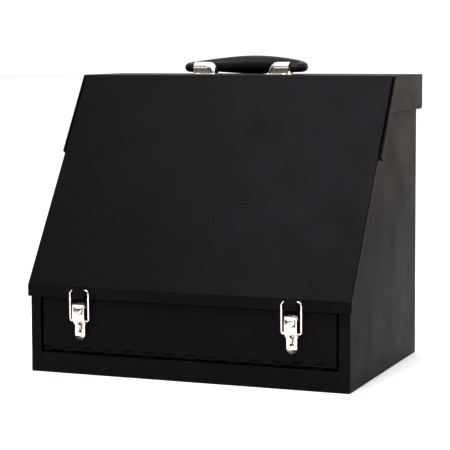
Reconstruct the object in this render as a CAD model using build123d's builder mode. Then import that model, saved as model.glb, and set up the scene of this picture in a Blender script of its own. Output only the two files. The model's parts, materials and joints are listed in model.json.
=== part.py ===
from build123d import *
import os
from math import atan2, cos, hypot, radians, sin, tan

# Portable tool box with a sloping lid and a drop front, in millimetres.
# X runs left to right, Y from front to rear, Z up.
# The origin is the centre of the case's footprint on the bench.

# Case, the folded steel body
case_width = 555.0
case_depth = 385.0
case_sheet = 1.5
stile_width = 18.2
fold_radius = 2.0
rail_bend_radius = 1.2
front_rail_height = 33.5
floor_upstand = 22.0
lap_clearance = 0.2

# Lid, a hood over the case
lid_height = 489.0
lid_sheet = 1.5
lid_side_gap = 2.0
lid_seal_room = 4.0
lip_stand_off = 5.2
lip_bottom_height = 126.5
lip_top_height = 145.0
slope_top_setback = 225.0
lid_flange_depth = 8.0
lid_bend_radius = 3.0
lid_side_radius = 1.3

# Cheeks, the deeper side pieces welded to the upper lid
cheek_step = 5.0
cheek_sheet = 1.5
cheek_inset = 1.6
cheek_slope_length = 155.0
cheek_slope_depth = 13.0
cheek_height = 60.0
cheek_corner_radius = 7.0
cheek_overrun = 6.0

# Rear hinge of the lid
rear_rod_radius = 2.0
rear_leaf_sheet = 1.5
rear_leaf_height = 30.0
rear_hinge_drop = 56.5
rear_knuckle_pitch = 126.0
knuckle_end_gap = 0.5
rod_clearance = 0.05

# Drop front and its hinge
door_sheet = 1.2
door_recess = 0.5
door_side_gap = 4.2
door_top_gap = 1.0
door_flange_depth = 14.0
door_flange_start = 7.0
door_bend_radius = 1.1
front_rod_radius = 1.5
front_knuckle_length = 16.0
front_knuckle_pitch = 36.5
front_knuckle_inset = 8.3
front_hinge_lift = 4.2
front_notch_room = 0.9
front_leaf_foot = 14.0

# Rubber seal round the opening
seal_width = 8.0
seal_setback = 5.0
seal_free_gap = 0.3

# Tool tiers inside
tier_sheet = 1.2
tier_lip_height = 28.0
tier_floor_heights = {"lower_tier": 138.0, "middle_tier": 248.0, "upper_tier": 352.0}
tier_front_clearance = 34.0
tool_slot_length = 26.0
tool_slot_width = 8.0
tool_slot_pitch = 48.0
tool_slot_margin = 24.0

# Carrying handle and its saddles
handle_setback = 42.0
handle_axis_height = 12.0
handle_elbow_radius = 7.8
handle_grip_radius = 15.2
handle_swell_power = 1.3
handle_half_length = 104.5
handle_reach = 63.0
handle_grip_height = 17.8
handle_turn_radius = 12.0
handle_sections = 13
handle_stub_chamfer = 1.6
saddle_outer_offset = 87.5
saddle_length = 43.0
saddle_width = 28.0
saddle_height = 22.0
saddle_sheet = 2.0
saddle_foot_depth = 8.0
saddle_inner_foot = 7.0
saddle_web_inset = 3.0
saddle_crown_radius = 11.0
saddle_end_bevel = 9.0
handle_pin_radius = 3.0
handle_pin_clearance = 0.05
handle_pin_engagement = 12.0
handle_saddle_gap = 0.6

# Draw latches
latch_inset = 93.5
latch_pivot_drop = 4.8
latch_pivot_stand_off = 8.0
latch_pin_radius = 2.0
latch_pin_head_radius = 3.2
latch_pin_head_height = 1.2
latch_plate_sheet = 1.2
latch_plate_width = 19.0
latch_plate_bottom_height = 57.0
latch_plate_top_height = 122.0
latch_plate_corner = 3.0
latch_plate_shoulder = 4.5
latch_ear_radius = 2.9
latch_ear_clearance = 0.25
lever_width = 21.0
lever_sheet = 1.2
lever_keeper_room = 8.0
lever_knee_height = 93.0
lever_tongue_top_height = 84.0
lever_flare_height = 65.0
lever_tip_height = 59.0
lever_tongue_width = 17.4
lever_stand_off = 12.0
lever_tongue_stand_off = 6.4
lever_tip_stand_off = 8.4
lever_bend_radius = 2.5
lever_flange_depth = 4.4
lever_flange_foot_height = 86.0
lever_bridge_drop = 7.2
lever_bridge_slot_width = 1.4
lever_bridge_slot_height = 4.6
lever_bridge_slot_offset = 7.6
lever_groove_height = 0.8
lever_groove_depth = 0.4
lever_slot_width = 5.2
lever_slot_bottom_height = 71.0
lever_slot_top_height = 88.0
bail_wire_radius = 1.6
bail_outer_width = 36.0
bail_drop = 23.9
bail_bar_height = 140.7
bail_corner_radius = 6.5
bail_foot_radius = 3.4
bail_foot_engagement = 0.7
bail_clearance = 0.3
bail_swing_room = 1.5
staple_sheet = 2.6
staple_height = 9.0
staple_hole_radius = 2.3
staple_middle_height = 79.5
staple_stand_off = 13.5
keeper_width = 21.5
keeper_back_sheet = 1.5
keeper_tongue_sheet = 1.5
keeper_lift = 0.5
keeper_rise = 3.3
keeper_lower_radius = 4.0
keeper_tongue_round = 0.9

# Rivets
rivet_radius = 2.4
rivet_head_height = 1.2
rivet_taper_degrees = 30.0
plate_rivet_offset = 14.4

# Derived places
front = -case_depth / 2
back = case_depth / 2
half_case = case_width / 2
case_top = lid_height - lid_sheet - lid_seal_room
lip_face = front - lip_stand_off
half_lid = half_case + lid_side_gap + lid_sheet
slope_rise = lid_height - lip_top_height
slope_run = front + slope_top_setback - lip_face
slope_angle = atan2(slope_rise, slope_run)

front_knuckle_radius = front_rod_radius + rod_clearance + door_sheet
front_axis_y = front + door_recess + front_knuckle_radius
front_axis_z = front_rail_height + front_hinge_lift + front_knuckle_radius
door_face = front + door_recess
half_door = half_case - stile_width - door_side_gap
front_knuckle_room = 2 * (half_door - front_knuckle_inset)
front_knuckle_count = 1 + int(front_knuckle_room // front_knuckle_pitch)
door_top = lip_bottom_height - door_top_gap
keeper_bottom_height = lip_bottom_height + keeper_lift
keeper_top_height = bail_bar_height + keeper_rise
lever_top_height = keeper_bottom_height - lever_keeper_room
latch_pivot_height = lever_top_height - latch_pivot_drop

rear_knuckle_radius = rear_rod_radius + rod_clearance + rear_leaf_sheet
rear_knuckle_count = int((case_width - 2 * stile_width) // rear_knuckle_pitch)
rear_axis_y = back - case_sheet + rear_knuckle_radius
rear_axis_z = lid_height - rear_hinge_drop
lid_rear = rear_axis_y + rear_knuckle_radius + lid_sheet

os.makedirs("parts", exist_ok=True)
finished = []


def keep(part, label):
    """Label a finished piece and write it as its own STEP file."""
    part.label = label
    export_step(part, f"parts/{label}.step")
    finished.append(part)
    return part


# Lines of the side view, in (Y, Z)
def slope_z(y, inset):
    """Height of the slope at y, on a line moved inwards square to the lid."""
    base_y = lip_face + inset * sin(slope_angle)
    base_z = lip_top_height - inset * cos(slope_angle)
    return base_z + (y - base_y) * tan(slope_angle)


def slope_y(z, inset):
    """Depth at which the slope, moved inwards, reaches height z."""
    base_y = lip_face + inset * sin(slope_angle)
    base_z = lip_top_height - inset * cos(slope_angle)
    return base_y + (z - base_z) / tan(slope_angle)


def slope_point(distance, inset):
    """Point on the slope, measured down from its top bend and square inwards."""
    y = front + slope_top_setback - distance * cos(slope_angle) + inset * sin(slope_angle)
    z = lid_height - distance * sin(slope_angle) - inset * cos(slope_angle)
    return (y, z)


def lid_line(inset, drop=0.0):
    """Lid outline from the lip over slope and top to the rear edge, moved inwards."""
    lip_y = lip_face + inset
    top_z = lid_height - inset
    return [
        (lip_y, lip_bottom_height - drop),
        (lip_y, slope_z(lip_y, inset)),
        (slope_y(top_z, inset), top_z),
        (lid_rear - inset, top_z),
        (lid_rear - inset, rear_axis_z - drop),
    ]


def case_line(inset):
    """Closed outline of the case's side, moved inwards."""
    below_lid = lid_sheet + lid_seal_room + inset
    top_z = case_top - inset
    return [
        (front + inset, inset),
        (front + inset, slope_z(front + inset, below_lid)),
        (slope_y(top_z, below_lid), top_z),
        (back - inset, top_z),
        (back - inset, inset),
    ]


def sin_deg(angle):
    """Sine of an angle in degrees."""
    return sin(radians(angle))


def cos_deg(angle):
    """Cosine of an angle in degrees."""
    return cos(radians(angle))


def run_of(count, pitch, first):
    """Evenly spaced centres."""
    return [first + pitch * index for index in range(count)]


def hinge_curl(centres, length, axis, radius, sheet, side, reach):
    """Curled knuckles round an X axis, each with a tab that runs up or down.

    side is +1 where the tab lies behind the axis and -1 where it lies in front;
    reach is the height of the tab's far end, above or below the axis.
    """
    axis_y, axis_z = axis
    tab_y = axis_y + side * (radius - sheet / 2)
    with BuildPart() as curl:
        for centre in centres:
            with BuildSketch(Plane.YZ.offset(centre - length / 2)):
                with Locations((axis_y, axis_z)):
                    Circle(radius)
                with Locations((tab_y, (axis_z + reach) / 2)):
                    Rectangle(sheet, abs(reach - axis_z))
            extrude(amount=length)
        with BuildSketch(Plane.YZ.offset(-half_case)):
            with Locations((axis_y, axis_z)):
                Circle(radius - sheet)
        extrude(amount=case_width, mode=Mode.SUBTRACT)
    return curl.part


def hinge_rod(axis, radius, half_length):
    """Straight rod along X."""
    with BuildPart() as rod:
        with BuildSketch(Plane.YZ.offset(-half_length)):
            with Locations(axis):
                Circle(radius)
        extrude(amount=2 * half_length)
        chamfer(rod.edges().filter_by(GeomType.CIRCLE), radius / 4)
    return rod.part


def rivet_group(label, plane, spots):
    """Rivet heads standing on one plane, kept as one group."""
    with BuildPart() as heads:
        with BuildSketch(plane):
            with Locations(*spots):
                Circle(rivet_radius)
        extrude(amount=rivet_head_height, taper=rivet_taper_degrees)
    return keep(heads.part, label)


# Case sides, one tray-shaped folding for each side
def side_panel(side):
    """Side of the case: a plate with a flange folded inwards all round."""
    inner_x = half_case - stile_width
    with BuildPart() as panel:
        with BuildSketch(Plane.YZ.offset(inner_x)):
            with BuildLine():
                Polyline(case_line(0.0), close=True)
            make_face()
        extrude(amount=stile_width)
        outer_edges = panel.faces().sort_by(Axis.X)[-1].edges()
        fillet(outer_edges, fold_radius)
        with BuildSketch(Plane.YZ.offset(inner_x)):
            with BuildLine():
                Polyline(case_line(case_sheet), close=True)
            make_face()
        extrude(amount=stile_width - case_sheet, mode=Mode.SUBTRACT)
        if side < 0:
            mirror(about=Plane.YZ, mode=Mode.REPLACE)
    return panel.part


keep(side_panel(-1), "left_side_panel")
keep(side_panel(1), "right_side_panel")

# Floor, flush with the sides' lower flanges, folded up as the front rail and the rear upstand
half_rail = half_case - stile_width - lap_clearance
half_back = half_case - case_sheet - lap_clearance
rail_return = front_axis_y + front_knuckle_radius - door_sheet - front
back_inner_face = back - 2 * case_sheet
with BuildPart() as floor_pan:
    with BuildSketch(Plane.YZ.offset(-half_rail)):
        with BuildLine():
            Polyline(
                (front, 0),
                (front, front_rail_height),
                (front + rail_return, front_rail_height),
                (front + rail_return, front_rail_height - case_sheet),
                (front + case_sheet, front_rail_height - case_sheet),
                (front + case_sheet, 0),
                close=True,
            )
        make_face()
    extrude(amount=2 * half_rail)
    rail_bend = floor_pan.edges().filter_by(Axis.X).sort_by(Axis.Y)[:2].sort_by(Axis.Z)[-1]
    fillet(rail_bend, rail_bend_radius)
    with BuildSketch(Plane.YZ.offset(-half_rail)):
        with BuildLine():
            Polyline(
                (front + case_sheet, 0),
                (back, 0),
                (back, floor_upstand),
                (back - case_sheet, floor_upstand),
                (back - case_sheet, case_sheet),
                (front + case_sheet, case_sheet),
                close=True,
            )
        make_face()
    extrude(amount=2 * half_rail)
    rear_bend = floor_pan.edges().filter_by(Axis.X).sort_by(Axis.Y)[-2:].sort_by(Axis.Z)[0]
    fillet(rear_bend, rail_bend_radius)
keep(floor_pan.part, "floor_pan")

# Back, lapped inside the rear flanges and folded forward at the top
half_back_top = half_case - stile_width - lap_clearance
back_return = stile_width
with BuildPart() as back_panel:
    with BuildSketch(Plane.YZ.offset(-half_back)):
        with Locations((back_inner_face + case_sheet / 2, case_top / 2)):
            Rectangle(case_sheet, case_top - 2 * case_sheet)
    extrude(amount=2 * half_back)
    with BuildSketch(Plane.YZ.offset(-half_back_top)):
        with BuildLine():
            Polyline(
                (back - case_sheet, case_top - 2 * case_sheet),
                (back - case_sheet, case_top),
                (back - back_return, case_top),
                (back - back_return, case_top - case_sheet),
                (back_inner_face, case_top - case_sheet),
                (back_inner_face, case_top - 2 * case_sheet),
                close=True,
            )
        make_face()
    extrude(amount=2 * half_back_top)
keep(back_panel.part, "back_panel")

# Lid shell: lip, slope, top and rear edge from one sheet, with narrow side flanges
with BuildPart() as lid_panel:
    with BuildSketch(Plane.YZ.offset(-half_lid)):
        with BuildLine():
            Polyline(lid_line(0.0) + lid_line(lid_flange_depth)[::-1], close=True)
        make_face()
    extrude(amount=2 * half_lid)
    bends = [lid_line(0.0)[index] for index in (1, 2, 3)]
    bend_edges = ShapeList(
        edge
        for edge in lid_panel.edges().filter_by(Axis.X)
        if any(hypot(edge.center().Y - y, edge.center().Z - z) < lid_sheet for y, z in bends)
    )
    fillet(bend_edges, lid_bend_radius)
    side_bends = ShapeList(
        edge
        for face in lid_panel.faces().filter_by(Axis.X)
        for edge in face.edges()
        if edge.center().Y < slope_y(edge.center().Z, lid_sheet)
        or edge.center().Z > lid_height - lid_sheet
    ).filter_by(lambda edge: edge.length > lid_sheet)
    fillet(side_bends, lid_side_radius)
    with BuildSketch(Plane.YZ.offset(-half_lid + lid_sheet)):
        with BuildLine():
            hollow = lid_line(lid_sheet, lid_flange_depth)
            Polyline(hollow + lid_line(2 * lid_flange_depth, lid_flange_depth)[::-1], close=True)
        make_face()
    extrude(amount=2 * (half_lid - lid_sheet), mode=Mode.SUBTRACT)
keep(lid_panel.part, "lid_panel")


# Cheeks
def cheek_outline(inset):
    """Closed outline of a cheek, its front, top and rear edges moved inwards."""
    top_z = lid_height - cheek_inset - inset
    shell = cheek_inset + inset
    bottom = lid_height - cheek_height
    overrun = cheek_overrun if inset else 0.0
    return [
        slope_point(cheek_slope_length - inset, shell),
        (slope_y(top_z, shell), top_z),
        (lid_rear - inset, top_z),
        (lid_rear - inset, bottom - overrun),
        (slope_y(bottom, cheek_slope_depth) + overrun, bottom - overrun),
        slope_point(cheek_slope_length - inset, cheek_slope_depth + overrun),
    ]


def cheek(side):
    """Side cheek: a plate with short returns that meet the lid's side flange."""
    with BuildPart() as piece:
        with BuildSketch(Plane.YZ.offset(half_lid)):
            with BuildLine():
                Polyline(cheek_outline(0.0), close=True)
            make_face()
        extrude(amount=cheek_step)
        lower_rear = piece.edges().filter_by(Axis.X).sort_by(Axis.Y)[-2:].sort_by(Axis.Z)[0]
        fillet(lower_rear, cheek_corner_radius)
        with BuildSketch(Plane.YZ.offset(half_lid)):
            with BuildLine():
                Polyline(cheek_outline(cheek_sheet), close=True)
            make_face()
        extrude(amount=cheek_step - cheek_sheet, mode=Mode.SUBTRACT)
        if side < 0:
            mirror(about=Plane.YZ, mode=Mode.REPLACE)
    return piece.part


keep(cheek(-1), "left_lid_cheek")
keep(cheek(1), "right_lid_cheek")

# Rear hinge: leaves on case and lid with alternating knuckles on one rod
rear_axis = (rear_axis_y, rear_axis_z)
rear_knuckle_length = rear_knuckle_pitch / 2 - knuckle_end_gap
rear_half_length = rear_knuckle_pitch * rear_knuckle_count / 2
rear_case_centres = run_of(
    rear_knuckle_count, rear_knuckle_pitch, -rear_half_length + rear_knuckle_pitch / 4
)
rear_lid_centres = [centre + rear_knuckle_pitch / 2 for centre in rear_case_centres]


def rear_leaf(centres, side, direction):
    """One leaf of the rear hinge: curled knuckles and a plate away from them."""
    shoulder = rear_axis_z + direction * (rear_knuckle_radius + knuckle_end_gap)
    far = rear_axis_z + direction * rear_leaf_height
    plate_y = rear_axis_y + side * (rear_knuckle_radius - rear_leaf_sheet / 2)
    curl = hinge_curl(
        centres, rear_knuckle_length, rear_axis, rear_knuckle_radius, rear_leaf_sheet, side, far
    )
    with BuildPart() as leaf:
        add(curl)
        with BuildSketch(Plane.YZ.offset(-rear_half_length)):
            with Locations((plate_y, (shoulder + far) / 2)):
                Rectangle(rear_leaf_sheet, abs(far - shoulder))
        extrude(amount=2 * rear_half_length)
    return leaf.part


keep(rear_leaf(rear_case_centres, -1, -1), "rear_hinge_case_leaf")
keep(rear_leaf(rear_lid_centres, 1, 1), "rear_hinge_lid_leaf")
keep(hinge_rod(rear_axis, rear_rod_radius, rear_half_length), "rear_hinge_rod")

# Front hinge: knuckles rise from the rail through notches in the drop front
front_axis = (front_axis_y, front_axis_z)
front_case_centres = run_of(
    front_knuckle_count, front_knuckle_pitch, front_knuckle_inset - half_door
)
leaf_top = front_rail_height + case_sheet
leaf_bottom = front_rail_height - front_leaf_foot
leaf_y = front + rail_return
front_curl = hinge_curl(
    front_case_centres,
    front_knuckle_length,
    front_axis,
    front_knuckle_radius,
    door_sheet,
    1,
    leaf_bottom,
)
with BuildPart() as front_hinge_leaf:
    add(front_curl)
    with BuildSketch(Plane.YZ.offset(-half_door)):
        with Locations((leaf_y + door_sheet / 2, (leaf_top + leaf_bottom) / 2)):
            Rectangle(door_sheet, leaf_top - leaf_bottom)
    extrude(amount=2 * half_door)
keep(front_hinge_leaf.part, "front_hinge_leaf")
keep(hinge_rod(front_axis, front_rod_radius, half_door), "front_hinge_rod")

# Drop front: a shallow pan whose lower edge curls round the rod between the notches
door_knuckle_spans = []
span_start = -half_door
for centre in front_case_centres:
    span_end = centre - front_knuckle_length / 2 - knuckle_end_gap
    door_knuckle_spans.append((span_start, span_end))
    span_start = centre + front_knuckle_length / 2 + knuckle_end_gap
door_knuckle_spans.append((span_start, half_door))
door_knuckle_spans = [span for span in door_knuckle_spans if span[1] - span[0] > door_sheet]
notch_top = front_axis_z + front_knuckle_radius + front_notch_room
flange_bottom = front_axis_z + door_flange_start
with BuildPart() as front_panel:
    with BuildSketch(Plane.XY.offset(notch_top)):
        with Locations((0, door_face + door_flange_depth / 2)):
            Rectangle(2 * half_door, door_flange_depth)
    extrude(amount=door_top - notch_top)
    front_edges = front_panel.faces().sort_by(Axis.Y)[0].edges()
    fillet(front_edges.sort_by(Axis.Z)[1:], door_bend_radius)
    with BuildSketch(Plane.XY.offset(notch_top)):
        with Locations((0, door_face + door_sheet + door_flange_depth)):
            Rectangle(2 * (half_door - door_sheet), 2 * door_flange_depth)
    extrude(amount=door_top - door_sheet - notch_top, mode=Mode.SUBTRACT)
    with BuildSketch(Plane.XY.offset(notch_top)):
        with Locations((0, door_face + door_sheet + door_flange_depth / 2)):
            Rectangle(3 * half_door, door_flange_depth)
    extrude(amount=flange_bottom - notch_top, mode=Mode.SUBTRACT)
    for start, end in door_knuckle_spans:
        with BuildSketch(Plane.YZ.offset(start)):
            with Locations(front_axis):
                Circle(front_knuckle_radius)
            with Locations((door_face + door_sheet / 2, (front_axis_z + notch_top) / 2)):
                Rectangle(door_sheet, notch_top - front_axis_z)
            with Locations(front_axis):
                Circle(front_rod_radius + rod_clearance, mode=Mode.SUBTRACT)
        extrude(amount=end - start)
keep(front_panel.part, "front_panel")

# Seal round the opening, glued to the case's upper flanges
seal_low = lid_sheet + lid_seal_room
seal_high = lid_sheet + seal_free_gap
seal_foot = slope_y(slope_z(front, seal_low) + seal_setback, seal_low)
seal_band = [
    (seal_foot, slope_z(seal_foot, seal_low)),
    (seal_foot, slope_z(seal_foot, seal_high)),
    (slope_y(lid_height - seal_high, seal_high), lid_height - seal_high),
    (back - seal_setback, lid_height - seal_high),
    (back - seal_setback, case_top),
    (slope_y(case_top, seal_low), case_top),
]
with BuildPart() as lid_seal:
    for start in (-half_case + seal_setback, half_case - seal_setback - seal_width):
        with BuildSketch(Plane.YZ.offset(start)):
            with BuildLine():
                Polyline(seal_band, close=True)
            make_face()
        extrude(amount=seal_width)
    with BuildSketch(Plane.XY.offset(case_top)):
        with Locations((0, back - seal_setback - seal_width / 2)):
            Rectangle(case_width - 2 * seal_setback, seal_width)
    extrude(amount=lid_height - seal_high - case_top)
keep(lid_seal.part, "lid_seal")


# Tool tiers: stepped trays with a row of tool slots along the front
def tier(floor_z):
    """Folded tray from the sloping front to the back panel."""
    tier_front = slope_y(floor_z + tier_lip_height, tier_front_clearance)
    tier_half = half_case - case_sheet
    depth = back_inner_face - tier_front
    middle_y = (back_inner_face + tier_front) / 2
    row_y = tier_front + tool_slot_margin
    slot_count = int((2 * tier_half - 2 * tool_slot_margin) // tool_slot_pitch)
    with BuildPart() as tray:
        with BuildSketch(Plane.XY.offset(floor_z)):
            with Locations((0, middle_y)):
                Rectangle(2 * tier_half, depth)
        extrude(amount=tier_lip_height)
        with BuildSketch(Plane.XY.offset(floor_z + tier_sheet)):
            with Locations((0, middle_y)):
                Rectangle(2 * (tier_half - tier_sheet), depth - 2 * tier_sheet)
        extrude(amount=tier_lip_height, mode=Mode.SUBTRACT)
        fillet(tray.edges().filter_by(Axis.X).sort_by(Axis.Y)[:2].sort_by(Axis.Z)[0], tier_sheet)
        with BuildSketch(Plane.XY.offset(floor_z)):
            with Locations((0, row_y)):
                with GridLocations(tool_slot_pitch, tool_slot_pitch, slot_count, 1):
                    Rectangle(tool_slot_length, tool_slot_width)
        extrude(amount=tier_sheet, mode=Mode.SUBTRACT)
    return tray.part


for tier_name, tier_height in tier_floor_heights.items():
    keep(tier(tier_height), tier_name)

# Handle: a moulded bow that lies back towards the rear, thickest in its middle
handle_y = front + slope_top_setback + handle_setback
handle_axis_z = lid_height + handle_axis_height
lay_angle = atan2(handle_grip_height - handle_axis_height, handle_reach)
handle_stub_end = saddle_outer_offset + handle_saddle_gap
turn_start = handle_half_length - handle_turn_radius
bow_depth = handle_reach - handle_turn_radius
handle_plane = Plane(
    origin=(0, handle_y, handle_axis_z),
    x_dir=(1, 0, 0),
    z_dir=(0, -sin(lay_angle), cos(lay_angle)),
)


def bow_section(turn):
    """Plane and radius of the bow's section, turn degrees past the elbow."""
    centre = Vector(handle_half_length * cos_deg(turn), handle_turn_radius + bow_depth * sin_deg(turn))
    along = Vector(-handle_half_length * sin_deg(turn), bow_depth * cos_deg(turn))
    origin = handle_plane.from_local_coords(centre)
    ahead = handle_plane.from_local_coords(centre + along)
    plane = Plane(origin=origin, x_dir=handle_plane.z_dir, z_dir=ahead - origin)
    swell = (handle_grip_radius - handle_elbow_radius) * abs(sin_deg(turn)) ** handle_swell_power
    return plane, handle_elbow_radius + swell


def handle_end():
    """Right end of the bow: the elbow and the stub with its bore for the pin."""
    elbow_place, elbow_radius = bow_section(0.0)
    elbow_axis = Axis(
        handle_plane.from_local_coords(Vector(turn_start, handle_turn_radius)),
        handle_plane.z_dir,
    )
    with BuildPart() as end:
        with BuildSketch(elbow_place):
            Circle(elbow_radius)
        revolve(axis=elbow_axis, revolution_arc=-90)
        with BuildSketch(Plane.YZ.offset(handle_stub_end)):
            with Locations((handle_y, handle_axis_z)):
                Circle(elbow_radius)
        extrude(amount=turn_start - handle_stub_end)
        chamfer(end.faces().filter_by(Axis.X).sort_by(Axis.X)[0].edges(), handle_stub_chamfer)
        with BuildSketch(Plane.YZ.offset(handle_stub_end)):
            with Locations((handle_y, handle_axis_z)):
                Circle(handle_pin_radius + handle_pin_clearance)
        extrude(amount=handle_pin_engagement, mode=Mode.SUBTRACT)
    return end.part


right_end = handle_end()
with BuildPart() as handle_grip:
    for index in range(handle_sections):
        section_place, section_radius = bow_section(180.0 * index / (handle_sections - 1))
        with BuildSketch(section_place):
            Circle(section_radius)
    loft(ruled=True)
    add(right_end)
    add(right_end.mirror(Plane.YZ))
keep(handle_grip.part, "handle_grip")

# Saddles: domed steel covers that hold the handle's pins
saddle_middle = saddle_outer_offset - saddle_length / 2
saddle_inner_end = saddle_outer_offset - saddle_length + saddle_inner_foot
saddle_cavity_end = saddle_inner_end + saddle_end_bevel
saddle_web_end = saddle_outer_offset - saddle_web_inset


def saddle_section(inset):
    """Arched section of a saddle, moved inwards."""
    half = saddle_width / 2 - inset
    crown = saddle_crown_radius - inset
    top = lid_height + saddle_height - inset
    with BuildSketch(Plane.YZ) as section:
        with BuildLine():
            Polyline(
                (handle_y - half, top - crown),
                (handle_y - half, lid_height),
                (handle_y + half, lid_height),
                (handle_y + half, top - crown),
            )
            Line((handle_y - half + crown, top), (handle_y + half - crown, top))
            RadiusArc((handle_y - half, top - crown), (handle_y - half + crown, top), crown)
            RadiusArc((handle_y + half - crown, top), (handle_y + half, top - crown), crown)
        make_face()
    return section.sketch


def saddle(side):
    """One saddle with its foot, hollow under the arch, with a web for the pin."""
    outer_section = Pos(saddle_inner_end, 0, 0) * saddle_section(0.0)
    cavity_section = Pos(saddle_cavity_end, 0, 0) * saddle_section(saddle_sheet)
    with BuildPart() as piece:
        extrude(outer_section, amount=saddle_outer_offset - saddle_inner_end)
        inner_rim = piece.faces().filter_by(Axis.X).sort_by(Axis.X)[0].edges()
        upper_rim = inner_rim.filter_by(lambda edge: edge.center().Z > lid_height + saddle_sheet)
        chamfer(upper_rim, saddle_end_bevel)
        with BuildSketch(Plane.XY.offset(lid_height)):
            with Locations((saddle_middle, handle_y)):
                RectangleRounded(
                    saddle_length, saddle_width + 2 * saddle_foot_depth, saddle_foot_depth / 2
                )
        extrude(amount=saddle_sheet)
        extrude(cavity_section, amount=saddle_outer_offset - saddle_cavity_end, mode=Mode.SUBTRACT)
        web_section = Pos(saddle_web_end - saddle_sheet, 0, 0) * saddle_section(saddle_sheet / 2)
        extrude(web_section, amount=saddle_sheet)
        with BuildSketch(Plane.YZ.offset(saddle_inner_end)):
            with Locations((handle_y, handle_axis_z)):
                Circle(handle_pin_radius + handle_pin_clearance)
        extrude(amount=saddle_length, mode=Mode.SUBTRACT)
        if side < 0:
            mirror(about=Plane.YZ, mode=Mode.REPLACE)
    return piece.part


def handle_pin(side):
    """Pin from the saddle's inner end into the handle's stub."""
    reach = handle_stub_end + handle_pin_engagement - handle_saddle_gap
    with BuildPart() as pin:
        with BuildSketch(Plane.YZ.offset(saddle_inner_end)):
            with Locations((handle_y, handle_axis_z)):
                Circle(handle_pin_radius)
        extrude(amount=reach - saddle_inner_end)
        if side < 0:
            mirror(about=Plane.YZ, mode=Mode.REPLACE)
    return pin.part


keep(saddle(-1), "left_handle_saddle")
keep(saddle(1), "right_handle_saddle")
keep(handle_pin(-1), "left_handle_pin")
keep(handle_pin(1), "right_handle_pin")
foot_rivet_y = saddle_width / 2 + saddle_foot_depth / 2
foot_rivet_x = saddle_length / 2 - saddle_foot_depth
rivet_group(
    "handle_rivets",
    Plane.XY.offset(lid_height + saddle_sheet),
    [
        (side * saddle_middle + along * foot_rivet_x, handle_y + across * foot_rivet_y)
        for side in (-1, 1)
        for along in (-1, 1)
        for across in (-1, 1)
    ],
)

# Draw latches: plate on the drop front, lever on the plate, bail on the lever
pivot_y = front - latch_pivot_stand_off
pivot_z = latch_pivot_height
bail_y = pivot_y
bail_z = pivot_z - bail_drop
bar_y = lip_face - keeper_back_sheet - bail_clearance - bail_wire_radius
plate_face = door_face - latch_plate_sheet
lever_inner = lever_width / 2 - lever_sheet
ear_outer = lever_inner - latch_ear_clearance
bail_leg = bail_outer_width / 2 - bail_wire_radius


def latch_plate(x):
    """Plate with two ears that carry the lever's pin."""
    with BuildPart() as plate:
        with BuildSketch(Plane.XZ.offset(-door_face)):
            with Locations((x, (latch_plate_top_height + latch_plate_bottom_height) / 2)):
                Rectangle(latch_plate_width, latch_plate_top_height - latch_plate_bottom_height)
        extrude(amount=latch_plate_sheet)
        corners = plate.edges().filter_by(Axis.Y)
        fillet(corners.sort_by(Axis.Z)[:2], latch_plate_corner)
        chamfer(plate.edges().filter_by(Axis.Y).sort_by(Axis.Z)[-2:], latch_plate_shoulder)
        for ear_x in (x - ear_outer, x + ear_outer - latch_plate_sheet):
            with BuildSketch(Plane.YZ.offset(ear_x)):
                with Locations((pivot_y, pivot_z)):
                    Circle(latch_ear_radius)
                with Locations(((pivot_y + door_face) / 2, pivot_z)):
                    Rectangle(door_face - pivot_y, 2 * latch_ear_radius)
            extrude(amount=latch_plate_sheet)
        with BuildSketch(Plane.YZ.offset(x - lever_width)):
            with Locations((pivot_y, pivot_z)):
                Circle(latch_pin_radius + rod_clearance)
        extrude(amount=2 * lever_width, mode=Mode.SUBTRACT)
    return plate.part


def latch_pin(x):
    """Headed pin through the ears and the lever's flanges."""
    half = lever_width / 2 + rod_clearance
    with BuildPart() as pin:
        with BuildSketch(Plane.YZ.offset(x - half)):
            with Locations((pivot_y, pivot_z)):
                Circle(latch_pin_radius)
        extrude(amount=2 * half)
        for start, amount in ((x - half, -latch_pin_head_height), (x + half, latch_pin_head_height)):
            with BuildSketch(Plane.YZ.offset(start)):
                with Locations((pivot_y, pivot_z)):
                    Circle(latch_pin_head_radius)
            extrude(amount=amount)
    return pin.part


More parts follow.
